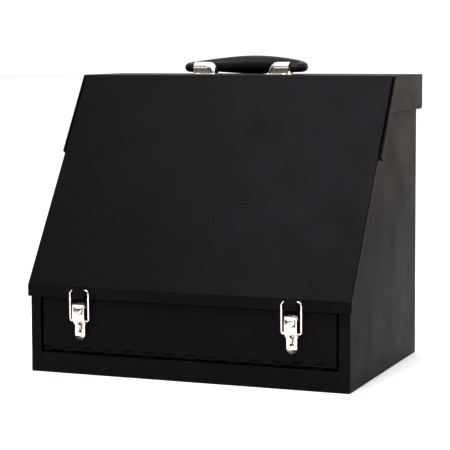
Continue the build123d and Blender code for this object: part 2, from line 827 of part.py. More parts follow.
def lever(x):
    """Pressed lever: a channel round the pivot that narrows into a slotted tongue."""
    middle = lever_sheet / 2
    high_y = front - lever_stand_off - middle
    low_y = front - lever_tongue_stand_off + middle
    tip_y = front - lever_tip_stand_off + middle
    with BuildPart() as piece:
        with BuildSketch(Plane.YZ.offset(x - lever_width / 2)):
            with BuildLine():
                FilletPolyline(
                    (high_y, lever_top_height),
                    (high_y, lever_knee_height),
                    (low_y, lever_tongue_top_height),
                    (low_y, lever_flare_height),
                    (tip_y, lever_tip_height),
                    radius=lever_bend_radius,
                )
            trace(line_width=lever_sheet)
        extrude(amount=lever_width)
        with BuildSketch(Plane.XZ.offset(-front)):
            with Locations((x, (lever_top_height + lever_tongue_top_height) / 2)):
                Rectangle(lever_width, lever_top_height - lever_tongue_top_height)
            tongue_radius = lever_tongue_width / 2
            tongue_foot = lever_tip_height + tongue_radius
            with Locations((x, (lever_tongue_top_height + tongue_foot) / 2)):
                Rectangle(lever_tongue_width, lever_tongue_top_height - tongue_foot)
            with Locations((x, tongue_foot)):
                Circle(tongue_radius)
            slot_height = lever_slot_top_height - lever_slot_bottom_height
            with Locations((x, (lever_slot_top_height + lever_slot_bottom_height) / 2)):
                SlotOverall(slot_height, lever_slot_width, rotation=90, mode=Mode.SUBTRACT)
            bridge_z = lever_top_height - lever_bridge_drop
            with Locations(
                (x - lever_bridge_slot_offset, bridge_z), (x + lever_bridge_slot_offset, bridge_z)
            ):
                Rectangle(lever_bridge_slot_width, lever_bridge_slot_height, mode=Mode.SUBTRACT)
        extrude(amount=3 * lever_stand_off, mode=Mode.INTERSECT)
        with BuildSketch(Plane.XZ.offset(-(high_y - middle + lever_groove_depth))):
            with Locations((x, bridge_z)):
                Rectangle(2 * lever_bridge_slot_offset, lever_groove_height)
        extrude(amount=lever_sheet, mode=Mode.SUBTRACT)
        flange_back = pivot_y + lever_flange_depth
        for flange_x in (x - lever_width / 2, x + lever_inner):
            with BuildSketch(Plane.YZ.offset(flange_x)):
                with BuildLine():
                    Polyline(
                        (high_y, lever_top_height),
                        (pivot_y, lever_top_height),
                        (flange_back, pivot_z + latch_pin_radius),
                        (flange_back, pivot_z - latch_pin_radius),
                        (bail_y + 2 * bail_wire_radius, bail_z),
                        (bail_y, lever_flange_foot_height),
                        (high_y, lever_knee_height - middle),
                        close=True,
                    )
                make_face()
            extrude(amount=lever_sheet)
        with BuildSketch(Plane.YZ.offset(x - lever_width)):
            with Locations((pivot_y, pivot_z)):
                Circle(latch_pin_radius + rod_clearance)
            with Locations((bail_y, bail_z)):
                Circle(bail_wire_radius + rod_clearance)
        extrude(amount=2 * lever_width, mode=Mode.SUBTRACT)
    return piece.part


def bail(x):
    """Wire loop from the lever's flanges up behind the keeper's tongue."""
    foot = lever_inner - bail_foot_engagement
    lean = Plane(
        origin=(x, bail_y, bail_z),
        x_dir=(1, 0, 0),
        z_dir=Vector(0, bail_bar_height - bail_z, bail_y - bar_y).normalized() * -1,
    )
    rise = hypot(bail_bar_height - bail_z, bar_y - bail_y)
    with BuildPart() as piece:
        with BuildLine(lean) as centre_line:
            FilletPolyline(
                (-foot, 0),
                (-bail_leg, 0),
                (-bail_leg, rise),
                (bail_leg, rise),
                (bail_leg, 0),
                (foot, 0),
                radius=[bail_foot_radius, bail_corner_radius, bail_corner_radius, bail_foot_radius],
            )
        with BuildSketch(Plane.YZ.offset(x - foot)):
            with Locations((bail_y, bail_z)):
                Circle(bail_wire_radius)
        sweep(path=centre_line.wires()[0])
    return piece.part


def staple(x):
    """Padlock staple: a pierced tab that stands through the lever's slot."""
    half = staple_height / 2
    eye_y = front - staple_stand_off + half
    with BuildPart() as piece:
        with BuildSketch(Plane.YZ.offset(x - staple_sheet / 2)):
            with Locations((eye_y, staple_middle_height)):
                Circle(half)
            with Locations(((eye_y + plate_face) / 2, staple_middle_height)):
                Rectangle(plate_face - eye_y, staple_height)
            with Locations((eye_y, staple_middle_height)):
                Circle(staple_hole_radius, mode=Mode.SUBTRACT)
        extrude(amount=staple_sheet)
    return piece.part


def keeper(x):
    """Keeper on the lid's lip: a groove behind an upright tongue takes the bail's bar."""
    groove_back = lip_face - keeper_back_sheet
    groove_front = bar_y - bail_wire_radius - bail_swing_room - bail_clearance
    tongue_face = groove_front - keeper_tongue_sheet
    groove_floor = bail_bar_height - bail_wire_radius - bail_clearance
    with BuildPart() as piece:
        with BuildSketch(Plane.YZ.offset(x - keeper_width / 2)):
            with BuildLine():
                Polyline(
                    (lip_face, keeper_bottom_height),
                    (tongue_face, keeper_bottom_height),
                    (tongue_face, keeper_top_height),
                    (groove_front, keeper_top_height),
                    (groove_front, groove_floor),
                    (groove_back, groove_floor),
                    (groove_back, keeper_top_height),
                    (lip_face, keeper_top_height),
                    close=True,
                )
            make_face()
        extrude(amount=keeper_width)
        along = piece.edges().filter_by(Axis.X)
        lower_front = along.sort_by(Axis.Y)[:2].sort_by(Axis.Z)[0]
        fillet(lower_front, keeper_lower_radius)
        upper_front = piece.edges().filter_by(Axis.X).sort_by(Axis.Y)[:2].sort_by(Axis.Z)[-1]
        fillet(upper_front, keeper_tongue_round)
    return piece.part


latch_offset = half_case - latch_inset
latches = {"left": -latch_offset, "right": latch_offset}
plate_rivets = []
for hand, latch_x in latches.items():
    keep(latch_plate(latch_x), f"{hand}_latch_plate")
    keep(latch_pin(latch_x), f"{hand}_latch_pin")
    keep(lever(latch_x), f"{hand}_lever")
    keep(bail(latch_x), f"{hand}_bail")
    keep(staple(latch_x), f"{hand}_padlock_staple")
    keep(keeper(latch_x), f"{hand}_keeper")
    plate_rivets.append((latch_x, staple_middle_height + plate_rivet_offset))
    plate_rivets.append((latch_x, staple_middle_height - plate_rivet_offset))
rivet_group("latch_rivets", Plane.XZ.offset(-plate_face), plate_rivets)

print(len(finished), "pieces written")
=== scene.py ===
"""Portable tool box with a sloping lid and a drop front: its looks in Blender.

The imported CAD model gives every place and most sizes. Sheet pieces, hinges, the handle and
the latches are rebuilt here with rounded bends, and each surface has a procedural finish.
Units are metres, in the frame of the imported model.
"""

import json
import logging
import math
from dataclasses import dataclass
from enum import Enum
from typing import Callable, Iterable, Sequence

import bmesh
import bpy
from mathutils import Matrix, Vector

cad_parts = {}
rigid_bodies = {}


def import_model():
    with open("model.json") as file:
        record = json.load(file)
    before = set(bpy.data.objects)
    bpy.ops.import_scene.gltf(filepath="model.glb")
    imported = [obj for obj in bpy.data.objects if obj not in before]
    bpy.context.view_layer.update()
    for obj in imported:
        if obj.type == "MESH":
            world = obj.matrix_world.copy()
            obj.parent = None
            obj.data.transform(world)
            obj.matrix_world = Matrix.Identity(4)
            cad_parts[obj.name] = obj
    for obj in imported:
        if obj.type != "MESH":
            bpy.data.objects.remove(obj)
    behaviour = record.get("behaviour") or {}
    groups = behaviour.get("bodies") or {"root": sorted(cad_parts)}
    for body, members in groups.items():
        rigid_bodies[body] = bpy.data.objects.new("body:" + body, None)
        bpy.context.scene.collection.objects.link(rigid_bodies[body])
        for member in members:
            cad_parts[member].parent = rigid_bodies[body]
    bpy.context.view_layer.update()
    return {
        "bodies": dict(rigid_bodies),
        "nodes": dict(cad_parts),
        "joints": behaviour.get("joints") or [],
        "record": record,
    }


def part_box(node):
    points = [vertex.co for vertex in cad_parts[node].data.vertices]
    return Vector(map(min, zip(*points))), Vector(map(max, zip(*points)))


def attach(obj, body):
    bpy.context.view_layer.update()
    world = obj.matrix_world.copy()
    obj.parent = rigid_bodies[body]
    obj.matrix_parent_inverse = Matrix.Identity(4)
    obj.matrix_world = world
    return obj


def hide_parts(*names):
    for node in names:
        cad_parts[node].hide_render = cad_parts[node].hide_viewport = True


LOG = logging.getLogger("tool_box")
MM = 0.001
SMOOTH_ANGLE = math.radians(32)
MERGE_DISTANCE = 1e-6
WELD_DISTANCE = 5e-6
LEAST_BEND = 2e-5
FLAT_ANGLE = math.radians(0.5)
SEAM_SHARE = 0.03
ALONG_X = 0.9
RIVET_RADIUS = 2.4 * MM
RIVET_HEIGHT = 1.2 * MM
CLOUD_SCALE = 14.0
CLOUD_DETAIL = 3.0
CLOUD_RANGE = (0.3, 0.7)

Point = tuple[float, float]
Point3 = tuple[float, float, float]
Weigh = Callable[[Vector], float]
Piece = bpy.types.Object
Work = bmesh.types.BMesh
Vert = bmesh.types.BMVert
Socket = bpy.types.NodeSocket


class Side(Enum):
    """The two sides of the box, seen from the front."""

    LEFT = -1
    RIGHT = 1

    @property
    def label(self) -> str:
        """Prefix of the side's node names."""
        return self.name.lower()


class Slot(Enum):
    """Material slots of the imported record."""

    POWDER_COAT = "powder_coat"
    CHROME = "chrome_plate"
    HANDLE = "handle_plastic"
    RUBBER = "seal_rubber"
    STEEL = "zinc_steel"


class Body(Enum):
    """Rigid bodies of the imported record."""

    CASE = "case"
    LID = "lid"
    HANDLE = "handle"
    DROP_FRONT = "drop_front"
    LEFT_LEVER = "left_lever"
    RIGHT_LEVER = "right_lever"
    LEFT_BAIL = "left_bail"
    RIGHT_BAIL = "right_bail"


# ---- Outlines ----


def rounded(
    points: Sequence[Point], radius: float, steps: int = 6, closed: bool = False
) -> list[Point]:
    """Round the corners of a polyline with arcs.

    Args:
        points: corners of the line.
        radius: arc radius at every corner.
        steps: number of segments in each arc.
        closed: whether the last point joins the first.

    Returns:
        The points of the rounded line, the same number for any radius above zero.
    """
    line: list[Point] = []
    for index, point in enumerate(points):
        here = Vector(point)
        if not closed and index in (0, len(points) - 1):
            line.append((here.x, here.y))
            continue
        before = (Vector(points[index - 1]) - here).normalized()
        after = (Vector(points[(index + 1) % len(points)]) - here).normalized()
        half = before.angle(after) / 2
        centre = here + (before + after).normalized() * radius / math.sin(half)
        first = here + before * radius / math.tan(half) - centre
        last = here + after * radius / math.tan(half) - centre
        sweep = math.pi - 2 * half
        for step in range(steps + 1):
            part = step / steps
            arm = first * math.sin((1 - part) * sweep) + last * math.sin(part * sweep)
            spot = centre + arm / math.sin(sweep)
            line.append((spot.x, spot.y))
    return line


def inset_line(points: Sequence[Point], distance: float) -> list[Point]:
    """Move an open polyline to its right-hand side and keep its corners mitred.

    Args:
        points: corners of the line.
        distance: how far each stretch moves, square to itself.

    Returns:
        The moved corners.
    """
    corners = [Vector(point) for point in points]
    normals = []
    for start, end in zip(corners, corners[1:]):
        along = (end - start).normalized()
        normals.append(Vector((along.y, -along.x)))
    moved = [corners[0] + normals[0] * distance]
    for corner, left, right in zip(corners[1:-1], normals, normals[1:]):
        mitre = (left + right).normalized()
        moved.append(corner + mitre * distance / mitre.dot(left))
    moved.append(corners[-1] + normals[-1] * distance)
    return [(corner.x, corner.y) for corner in moved]


# ---- Meshes ----


def add_object(name: str, data: bpy.types.ID) -> Piece:
    """Put an object with its data into the scene.

    Args:
        name: the object's name.
        data: its mesh, light or camera.

    Returns:
        The new object.
    """
    piece = bpy.data.objects.new(name, data)
    bpy.context.scene.collection.objects.link(piece)
    return piece


def smooth(mesh: bpy.types.Mesh) -> bpy.types.Mesh:
    """Shade a mesh smooth, with sharp edges past the smooth angle.

    Args:
        mesh: the mesh.

    Returns:
        The same mesh.
    """
    mesh.polygons.foreach_set("use_smooth", [True] * len(mesh.polygons))
    mesh.set_sharp_from_angle(angle=SMOOTH_ANGLE)
    return mesh


def end_mesh(name: str, work: Work) -> Piece:
    """Make the object of a mesh under construction.

    Args:
        name: the piece's name.
        work: the mesh under construction; it is freed.

    Returns:
        The new piece.
    """
    mesh = bpy.data.meshes.new(name)
    work.to_mesh(mesh)
    work.free()
    return add_object(name, smooth(mesh))


def close_mesh(name: str, work: Work) -> Piece:
    """Merge doubled points, turn the faces outwards and make the object.

    Args:
        name: the piece's name.
        work: the mesh under construction; it is freed.

    Returns:
        The new piece.
    """
    bmesh.ops.remove_doubles(work, verts=work.verts, dist=MERGE_DISTANCE)
    bmesh.ops.recalc_face_normals(work, faces=work.faces)
    return end_mesh(name, work)


def welded(source: Piece) -> Work:
    """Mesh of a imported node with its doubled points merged.

    Args:
        source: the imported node.

    Returns:
        The merged mesh.
    """
    work = bmesh.new()
    work.from_mesh(source.data)
    bmesh.ops.remove_doubles(work, verts=work.verts, dist=WELD_DISTANCE)
    return work


def flattened(source: Piece) -> Work:
    """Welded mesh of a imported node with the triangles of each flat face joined.

    Args:
        source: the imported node.

    Returns:
        The merged mesh.
    """
    work = welded(source)
    bmesh.ops.dissolve_limit(work, angle_limit=FLAT_ANGLE, verts=work.verts, edges=work.edges)
    return work


def bevel(piece: Piece, width: float, segments: int = 3, by_weight: bool = False) -> Piece:
    """Round a piece's hard edges, or only its weighted ones, and keep the result as its mesh.

    Args:
        piece: the piece.
        width: width of the rounding.
        segments: steps in the rounding.
        by_weight: whether only weighted edges are rounded.

    Returns:
        The same piece.
    """
    modifier = piece.modifiers.new("soft_edges", "BEVEL")
    modifier.width = width
    modifier.segments = segments
    modifier.limit_method = "WEIGHT" if by_weight else "ANGLE"
    modifier.angle_limit = SMOOTH_ANGLE
    modifier.harden_normals = False
    return bake_modifiers(piece)


def bake_modifiers(piece: Piece) -> Piece:
    """Replace a piece's mesh by what its modifiers make of it.

    Args:
        piece: the piece.

    Returns:
        The same piece.
    """
    depsgraph = bpy.context.evaluated_depsgraph_get()
    mesh = bpy.data.meshes.new_from_object(piece.evaluated_get(depsgraph))
    mesh.name = piece.name
    piece.modifiers.clear()
    piece.data = smooth(mesh)
    return piece


def join_meshes(name: str, pieces: Sequence[Piece]) -> Piece:
    """Join several meshes into one object and remove the originals.

    Args:
        name: the new piece's name.
        pieces: the pieces to join.

    Returns:
        The new piece.
    """
    work = bmesh.new()
    for piece in pieces:
        work.from_mesh(piece.data)
        bpy.data.objects.remove(piece)
    return end_mesh(name, work)


def bridge(work: Work, rings: Sequence[Sequence[Vert]], closed: bool) -> None:
    """Span faces between neighbouring rows of points.

    Args:
        work: the mesh under construction.
        rings: rows with the same number of points.
        closed: whether each row's end joins its start.
    """
    for low, high in zip(rings, rings[1:]):
        count = len(low)
        for index in range(count if closed else count - 1):
            after = (index + 1) % count
            work.faces.new((low[index], low[after], high[after], high[index]))


def loft(name: str, rings: Sequence[Sequence[Vector]]) -> Piece:
    """Closed piece through closed rings of points, with flat ends.

    Args:
        name: the piece's name.
        rings: rings with the same number of points.

    Returns:
        The new piece.
    """
    work = bmesh.new()
    rows = [[work.verts.new(point) for point in ring] for ring in rings]
    bridge(work, rows, closed=True)
    work.faces.new(rows[0][::-1])
    work.faces.new(rows[-1])
    return close_mesh(name, work)


def prism(name: str, outline: Sequence[Point], x_low: float, x_high: float) -> Piece:
    """Push an outline in Y and Z along X.

    Args:
        name: the piece's name.
        outline: closed outline in Y and Z.
        x_low: where it starts.
        x_high: where it ends.

    Returns:
        The new piece.
    """
    return loft(name, [[Vector((x, y, z)) for y, z in outline] for x in (x_low, x_high)])


def tray(
    name: str, outline: Sequence[Point], x_open: float, x_wall: float, sheet: float, bend: float
) -> Piece:
    """Folded tray: a wall at x_wall with a flange all round that ends at x_open.

    Args:
        name: the piece's name.
        outline: closed outline in Y and Z.
        x_open: X of the flange's free edge.
        x_wall: X of the wall's outer face.
        sheet: sheet thickness.
        bend: outer bend radius between the wall and its flange.

    Returns:
        The new piece.
    """
    ring = list(outline) + [outline[0], outline[1]]
    inner = inset_line(ring, sheet)[1 : len(outline) + 1]
    inner = inner[-1:] + inner[:-1]
    side = math.copysign(1.0, x_wall - x_open)
    work = bmesh.new()
    weight = work.edges.layers.float.new("bevel_weight_edge")
    far_out = [work.verts.new((x_wall, y, z)) for y, z in outline]
    near_out = [work.verts.new((x_open, y, z)) for y, z in outline]
    near_in = [work.verts.new((x_open, y, z)) for y, z in inner]
    far_in = [work.verts.new((x_wall - side * sheet, y, z)) for y, z in inner]
    bridge(work, [far_out, near_out, near_in, far_in], closed=True)
    work.faces.new(far_out)
    work.faces.new(far_in)
    for start, end in zip(far_out, far_out[1:] + far_out[:1]):
        work.edges.get((start, end))[weight] = 1.0
    return bevel(close_mesh(name, work), bend, segments=5, by_weight=True)


def hood(
    name: str,
    corners: Sequence[Point],
    bend: float,
    half_width: float,
    flange: float,
    side_bend: float,
    sheet: float,
) -> Piece:
    """Folded hood: a bent strip across X with a flange along both of its sides.

    Args:
        name: the piece's name.
        corners: outer line in Y and Z; the flanges lie on its right-hand side.
        bend: outer radius at the line's corners.
        half_width: half of the width across X.
        flange: depth of the side flanges.
        side_bend: outer radius between strip and flanges.
        sheet: sheet thickness.

    Returns:
        The new piece.
    """

    def skin(thickness: float) -> list[list[Vector]]:
        """Rows of one skin, one for each station across the hood.

        Args:
            thickness: distance from the outer skin.

        Returns:
            The skin's rows.
        """
        reach = half_width - thickness
        section = rounded(
            [(-reach, flange), (-reach, thickness), (reach, thickness), (reach, flange)],
            max(side_bend - thickness, sheet / 8),
        )
        rows = []
        for x, depth in section:
            line = rounded(inset_line(corners, depth), max(bend - depth, LEAST_BEND), steps=8)
            rows.append([Vector((x, y, z)) for y, z in line])
        return rows

    work = bmesh.new()
    outer = [[work.verts.new(point) for point in row] for row in skin(0.0)]
    inner = [[work.verts.new(point) for point in row] for row in skin(sheet)]
    bridge(work, outer, closed=False)
    bridge(work, inner, closed=False)
    for end in (0, -1):
        bridge(work, [outer[end], inner[end]], closed=False)
        bridge(work, [[row[end] for row in outer], [row[end] for row in inner]], closed=False)
    bmesh.ops.remove_doubles(work, verts=work.verts, dist=sheet / 20)
    return close_mesh(name, work)


def tube(name: str, path: Sequence[Vector], radius: float, sides: int = 20) -> Piece:
    """Round wire along a path with flat ends.

    Args:
        name: the piece's name.
        path: points on the wire's centre line.
        radius: wire radius.
        sides: points round the wire.

    Returns:
        The new piece.
    """
    rings = []
    turns = [math.tau * side / sides for side in range(sides)]
    starts_along_x = abs((path[1] - path[0]).normalized().x) > ALONG_X
    across = Vector((0, 1, 0)) if starts_along_x else Vector((1, 0, 0))
    for index, point in enumerate(path):
        along = (path[min(index + 1, len(path) - 1)] - path[max(index - 1, 0)]).normalized()
        across = (across - along * across.dot(along)).normalized()
        up = along.cross(across)
        rings.append([point + radius * (across * math.cos(t) + up * math.sin(t)) for t in turns])
    return loft(name, rings)


def lathe_x(name: str, profile: Sequence[Point], centre: Vector, sides: int = 28) -> Piece:
    """Turn a profile round an axis along X.

    Args:
        name: the piece's name.
        profile: points as distance along X and radius, from end to end.
        centre: a point on the axis.
        sides: points round the axis.

    Returns:
        The new piece.
    """
    turns = [math.tau * side / sides for side in range(sides)]
    rings = [
        [centre + Vector((along, radius * math.cos(t), radius * math.sin(t))) for t in turns]
        for along, radius in profile
    ]
    return loft(name, rings)


def soften(
    source: Piece,
    name: str,
    width: float,
    weigh: Weigh | None = None,
    segments: int = 3,
) -> Piece:
    """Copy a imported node's mesh, merge its triangles and round its hard edges.

    Args:
        source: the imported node.
        name: the new piece's name.
        width: width of the rounding.
        weigh: share of the width for an edge, from its middle; every edge when left out.
        segments: steps in the rounding.

    Returns:
        The new piece.
    """
    work = flattened(source)
    weight = work.edges.layers.float.new("bevel_weight_edge")
    for line in work.edges:
        if len(line.link_faces) == 2 and line.calc_face_angle(0.0) > SMOOTH_ANGLE:
            middle = (line.verts[0].co + line.verts[1].co) / 2
            line[weight] = weigh(middle) if weigh else 1.0
    return bevel(close_mesh(name, work), width, segments, by_weight=True)


def block(name: str, low: Point3, high: Point3) -> Piece:
    """Box between two corners, to cut with."""
    outline = [(low[1], low[2]), (high[1], low[2]), (high[1], high[2]), (low[1], high[2])]
    return prism(name, outline, low[0], high[0])


def carve(source: Piece, cutters: Sequence[Piece]) -> Piece:
    """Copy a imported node's mesh, merge its triangles and cut shapes out of the copy.

    Args:
        source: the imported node.
        cutters: the shapes to cut with; they are removed.

    Returns:
        The cut copy.
    """
    piece = close_mesh("carved", welded(source))
    for cutter in cutters:
        modifier = piece.modifiers.new(cutter.name, "BOOLEAN")
        modifier.operation = "DIFFERENCE"
        modifier.solver = "EXACT"
        modifier.object = cutter
    bake_modifiers(piece)
    for cutter in cutters:
        bpy.data.objects.remove(cutter)
    return piece


# ---- Node graphs ----


class Graph:
    """A node tree with short calls to add and link its nodes."""

    def __init__(self, tree: bpy.types.NodeTree) -> None:
        """Hold the tree and clear it."""
        self.tree = tree
        self.tree.nodes.clear()

    def add(
        self, kind: str, inputs: dict[str | int, object] | None = None, **settings: object
    ) -> bpy.types.Node:
        """Add a node.

        Args:
            kind: the node's type name.
            inputs: values or sockets for its inputs, by name or number.
            settings: properties of the node itself.

        Returns:
            The new node.
        """
        node = self.tree.nodes.new(kind)
        for key, value in settings.items():
            setattr(node, key, value)
        for key, value in (inputs or {}).items():
            if isinstance(value, Socket):
                self.tree.links.new(value, node.inputs[key])
            else:
                node.inputs[key].default_value = value
        return node

    def make(
        self, kind: str, inputs: dict[str | int, object] | None = None, **settings: object
    ) -> Socket:
        """Add a node, as add does, and return its first output."""
        return self.add(kind, inputs, **settings).outputs[0]

    def link(self, source: Socket, target: Socket) -> None:
        """Join two sockets."""
        self.tree.links.new(source, target)

    def math(self, operation: str, *values: object) -> Socket:
        """Result of a calculation on numbers or sockets."""
        return self.make("ShaderNodeMath", dict(enumerate(values)), operation=operation)

    def noise(self, place: Socket, scale: float, detail: float, roughness: float = 0.5) -> Socket:
        """Value of a noise texture at a place."""
        values = {"Vector": place, "Scale": scale, "Detail": detail, "Roughness": roughness}
        return self.make("ShaderNodeTexNoise", values)

    def remap(self, value: Socket, given: Point, wanted: Point, kind: str = "LINEAR") -> Socket:
        """Value moved from one range to another.

        Args:
            value: the value.
            given: low and high end of the range that it has.
            wanted: low and high end of the range that it gets.
            kind: the node's interpolation.

        Returns:
            The new value.
        """
        ends = dict(zip(("From Min", "From Max", "To Min", "To Max"), (*given, *wanted)))
        return self.make("ShaderNodeMapRange", {"Value": value, **ends}, interpolation_type=kind)


class Rule:
    """A Geometry Nodes group that turns a small mesh into a finished piece."""

    name: str
    inputs: dict[str, str]

    def __init__(self) -> None:
        """Make the group with its named inputs: the geometry, its own ones and a material."""
        self.tree = bpy.data.node_groups.new(self.name, "GeometryNodeTree")
        self.tree.is_modifier = True
        interface = self.tree.interface
        kinds = {"Geometry": "NodeSocketGeometry", **self.inputs, "Material": "NodeSocketMaterial"}
        self.sockets = {
            label: interface.new_socket(label, in_out="INPUT", socket_type=kind).identifier
            for label, kind in kinds.items()
        }
        interface.new_socket("Geometry", in_out="OUTPUT", socket_type="NodeSocketGeometry")
        self.graph = Graph(self.tree)
        self.given = self.graph.add("NodeGroupInput").outputs
        self.wire()

    def wire(self) -> None:
        """Add the group's own nodes."""
        raise NotImplementedError

    def end(self, geometry: Socket) -> None:
        """Realize the copies, give them the material and join the group's output.

        Args:
            geometry: what the group has made.
        """
        real = self.graph.make("GeometryNodeRealizeInstances", {"Geometry": geometry})
        dressed = self.graph.make(
            "GeometryNodeSetMaterial", {"Geometry": real, "Material": self.given["Material"]}
        )
        self.graph.add("NodeGroupOutput", {"Geometry": dressed})

    def grow(self, seed: Piece, material: bpy.types.Material, **values: object) -> Piece:
        """Run the rule on an object and keep the result as its mesh.

        Args:
            seed: the object that the rule starts from.
            material: the finished piece's material.
            values: the rule's inputs by name, with underscores for spaces.

        Returns:
            The same object with its finished mesh.
        """
        modifier = seed.modifiers.new(self.tree.name, "NODES")
        modifier.node_group = self.tree
        modifier[self.sockets["Material"]] = material
        for key, value in values.items():
            modifier[self.sockets[key.replace("_", " ")]] = value
        return bake_modifiers(seed)


class RowRule(Rule):
    """Copies of one piece at an even pitch along X."""

    name = "even_row"
    inputs = {"Count": "NodeSocketInt", "Pitch": "NodeSocketFloat"}

    def wire(self) -> None:
        """Place a copy of the geometry on each point of a line."""
        graph, given = self.graph, self.given
        step = graph.make("ShaderNodeCombineXYZ", {"X": given["Pitch"]})
        line = graph.make(
            "GeometryNodeMeshLine", {"Count": given["Count"], "Offset": step}, mode="OFFSET"
        )
        copies = {"Points": line, "Instance": given["Geometry"]}
        self.end(graph.make("GeometryNodeInstanceOnPoints", copies))


class RivetRule(Rule):
    """Domed rivet heads on the points of a mesh."""

    name = "rivet_heads"
    inputs = {
        "Radius": "NodeSocketFloat",
        "Height": "NodeSocketFloat",
        "Normal": "NodeSocketVector",
        "Seed": "NodeSocketInt",
    }

    def wire(self) -> None:
        """Flatten a sphere into a dome and turn each copy about its own axis."""
        graph, given = self.graph, self.given
        ball = graph.make("GeometryNodeMeshUVSphere", {"Segments": 24, "Rings": 12, "Radius": 1.0})
        sizes = {"X": given["Radius"], "Y": given["Radius"], "Z": given["Height"]}
        scale = graph.make("ShaderNodeCombineXYZ", sizes)
        dome = graph.make("GeometryNodeTransform", {"Geometry": ball, "Scale": scale})
        facing = graph.make(
            "FunctionNodeAlignRotationToVector", {"Vector": given["Normal"]}, axis="Z"
        )
        spin = graph.make(
            "FunctionNodeRandomValue",
            {"Min": (0.0, 0.0, 0.0), "Max": (0.0, 0.0, math.tau), "Seed": given["Seed"]},
            data_type="FLOAT_VECTOR",
        )
        turned = graph.make(
            "FunctionNodeRotateRotation",
            {"Rotation": facing, "Rotate By": spin},
            rotation_space="LOCAL",
        )
        copies = {"Points": given["Geometry"], "Instance": dome, "Rotation": turned}
        self.end(graph.make("GeometryNodeInstanceOnPoints", copies))


class BowRule(Rule):
    """A moulded bow: a swept section that swells towards the middle of its path."""

    name = "moulded_bow"
    inputs = {
        "End Radius": "NodeSocketFloat",
        "Swell": "NodeSocketFloat",
        "Power": "NodeSocketFloat",
        "Seam Depth": "NodeSocketFloat",
        "Sides": "NodeSocketInt",
    }

    def wire(self) -> None:
        """Set the radius along the path, notch the section at its mould seam and sweep it."""
        graph, given = self.graph, self.given
        path = graph.make("GeometryNodeMeshToCurve", {"Mesh": given["Geometry"]})
        along = graph.add("GeometryNodeSplineParameter").outputs["Factor"]
        arc = graph.math("ABSOLUTE", graph.math("SINE", graph.math("MULTIPLY", along, math.pi)))
        wave = graph.math("POWER", arc, given["Power"])
        radius = graph.math("MULTIPLY_ADD", wave, given["Swell"], given["End Radius"])
        circle = {"Resolution": given["Sides"], "Radius": 1.0}
        ring = graph.make("GeometryNodeCurvePrimitiveCircle", circle)
        spot = graph.make("GeometryNodeInputPosition")
        near = graph.math("ABSOLUTE", graph.make("ShaderNodeSeparateXYZ", {0: spot}))
        dip = graph.math("MULTIPLY", graph.math("LESS_THAN", near, SEAM_SHARE), given["Seam Depth"])
        keep = graph.math("SUBTRACT", 1.0, dip)
        drawn = graph.make("ShaderNodeVectorMath", {0: spot, "Scale": keep}, operation="SCALE")
        notched = graph.make("GeometryNodeSetPosition", {"Geometry": ring, "Position": drawn})
        sweep = {"Curve": path, "Profile Curve": notched, "Scale": radius, "Fill Caps": True}
        self.end(graph.make("GeometryNodeCurveToMesh", sweep))


def points_mesh(name: str, spots: Iterable[Vector], chained: bool = False) -> Piece:
    """Object with loose points, or a chain of edges, for a rule to start from.

    Args:
        name: the object's name.
        spots: the points.
        chained: whether neighbours are joined by edges.

    Returns:
        The new object.
    """
    spots = [tuple(spot) for spot in spots]
    links = [(index, index + 1) for index in range(len(spots) - 1)] if chained else []
    mesh = bpy.data.meshes.new(name)
    mesh.from_pydata(spots, links, [])
    return add_object(name, mesh)


# ---- Finishes ----


@dataclass(frozen=True)
class Finish:
    """A surface made of shader nodes on Object coordinates."""

    name: str
    colour: Point3
    roughness: float
    roughness_spread: float
    grain_scale: float
    grain_height: float
    metallic: float = 0.0
    specular: float = 0.5
    grain_detail: float = 2.0
    grain_roughness: float = 0.6

    def build(self) -> bpy.types.Material:
        """Make the material.

        Returns:
            The material.
        """
        material = bpy.data.materials.new(self.name)
        material.use_nodes = True
        graph = Graph(material.node_tree)
        values = {
            "Base Color": (*self.colour, 1.0),
            "Metallic": self.metallic,
            "Roughness": self.roughness,
            "Specular IOR Level": self.specular,
        }
        shader = graph.add("ShaderNodeBsdfPrincipled", values)
        self.dress(graph, shader, graph.add("ShaderNodeTexCoord").outputs["Object"])
        graph.add("ShaderNodeOutputMaterial", {"Surface": shader.outputs[0]})
        return material

    def dress(self, graph: Graph, shader: bpy.types.Node, place: Socket) -> None:
        """Add roughness variation and the relief to the shader.

        Args:
            graph: the material's nodes.
            shader: the material's surface shader.
            place: Object coordinates.
        """
        low = self.roughness - self.roughness_spread
        high = self.roughness + self.roughness_spread
        cloud = graph.noise(place, CLOUD_SCALE, CLOUD_DETAIL)
        graph.link(graph.remap(cloud, CLOUD_RANGE, (low, high)), shader.inputs["Roughness"])
        relief = {"Height": self.relief(graph, place), "Distance": self.grain_height}
        bump = graph.make("ShaderNodeBump", {"Strength": 1.0, **relief})
        graph.link(bump, shader.inputs["Normal"])

    def relief(self, graph: Graph, place: Socket) -> Socket:
        """Height of the surface's fine relief."""
        return self.grain(graph, place)

    def grain(self, graph: Graph, place: Socket) -> Socket:
        """Fine noise."""
        return graph.noise(place, self.grain_scale, self.grain_detail, self.grain_roughness)


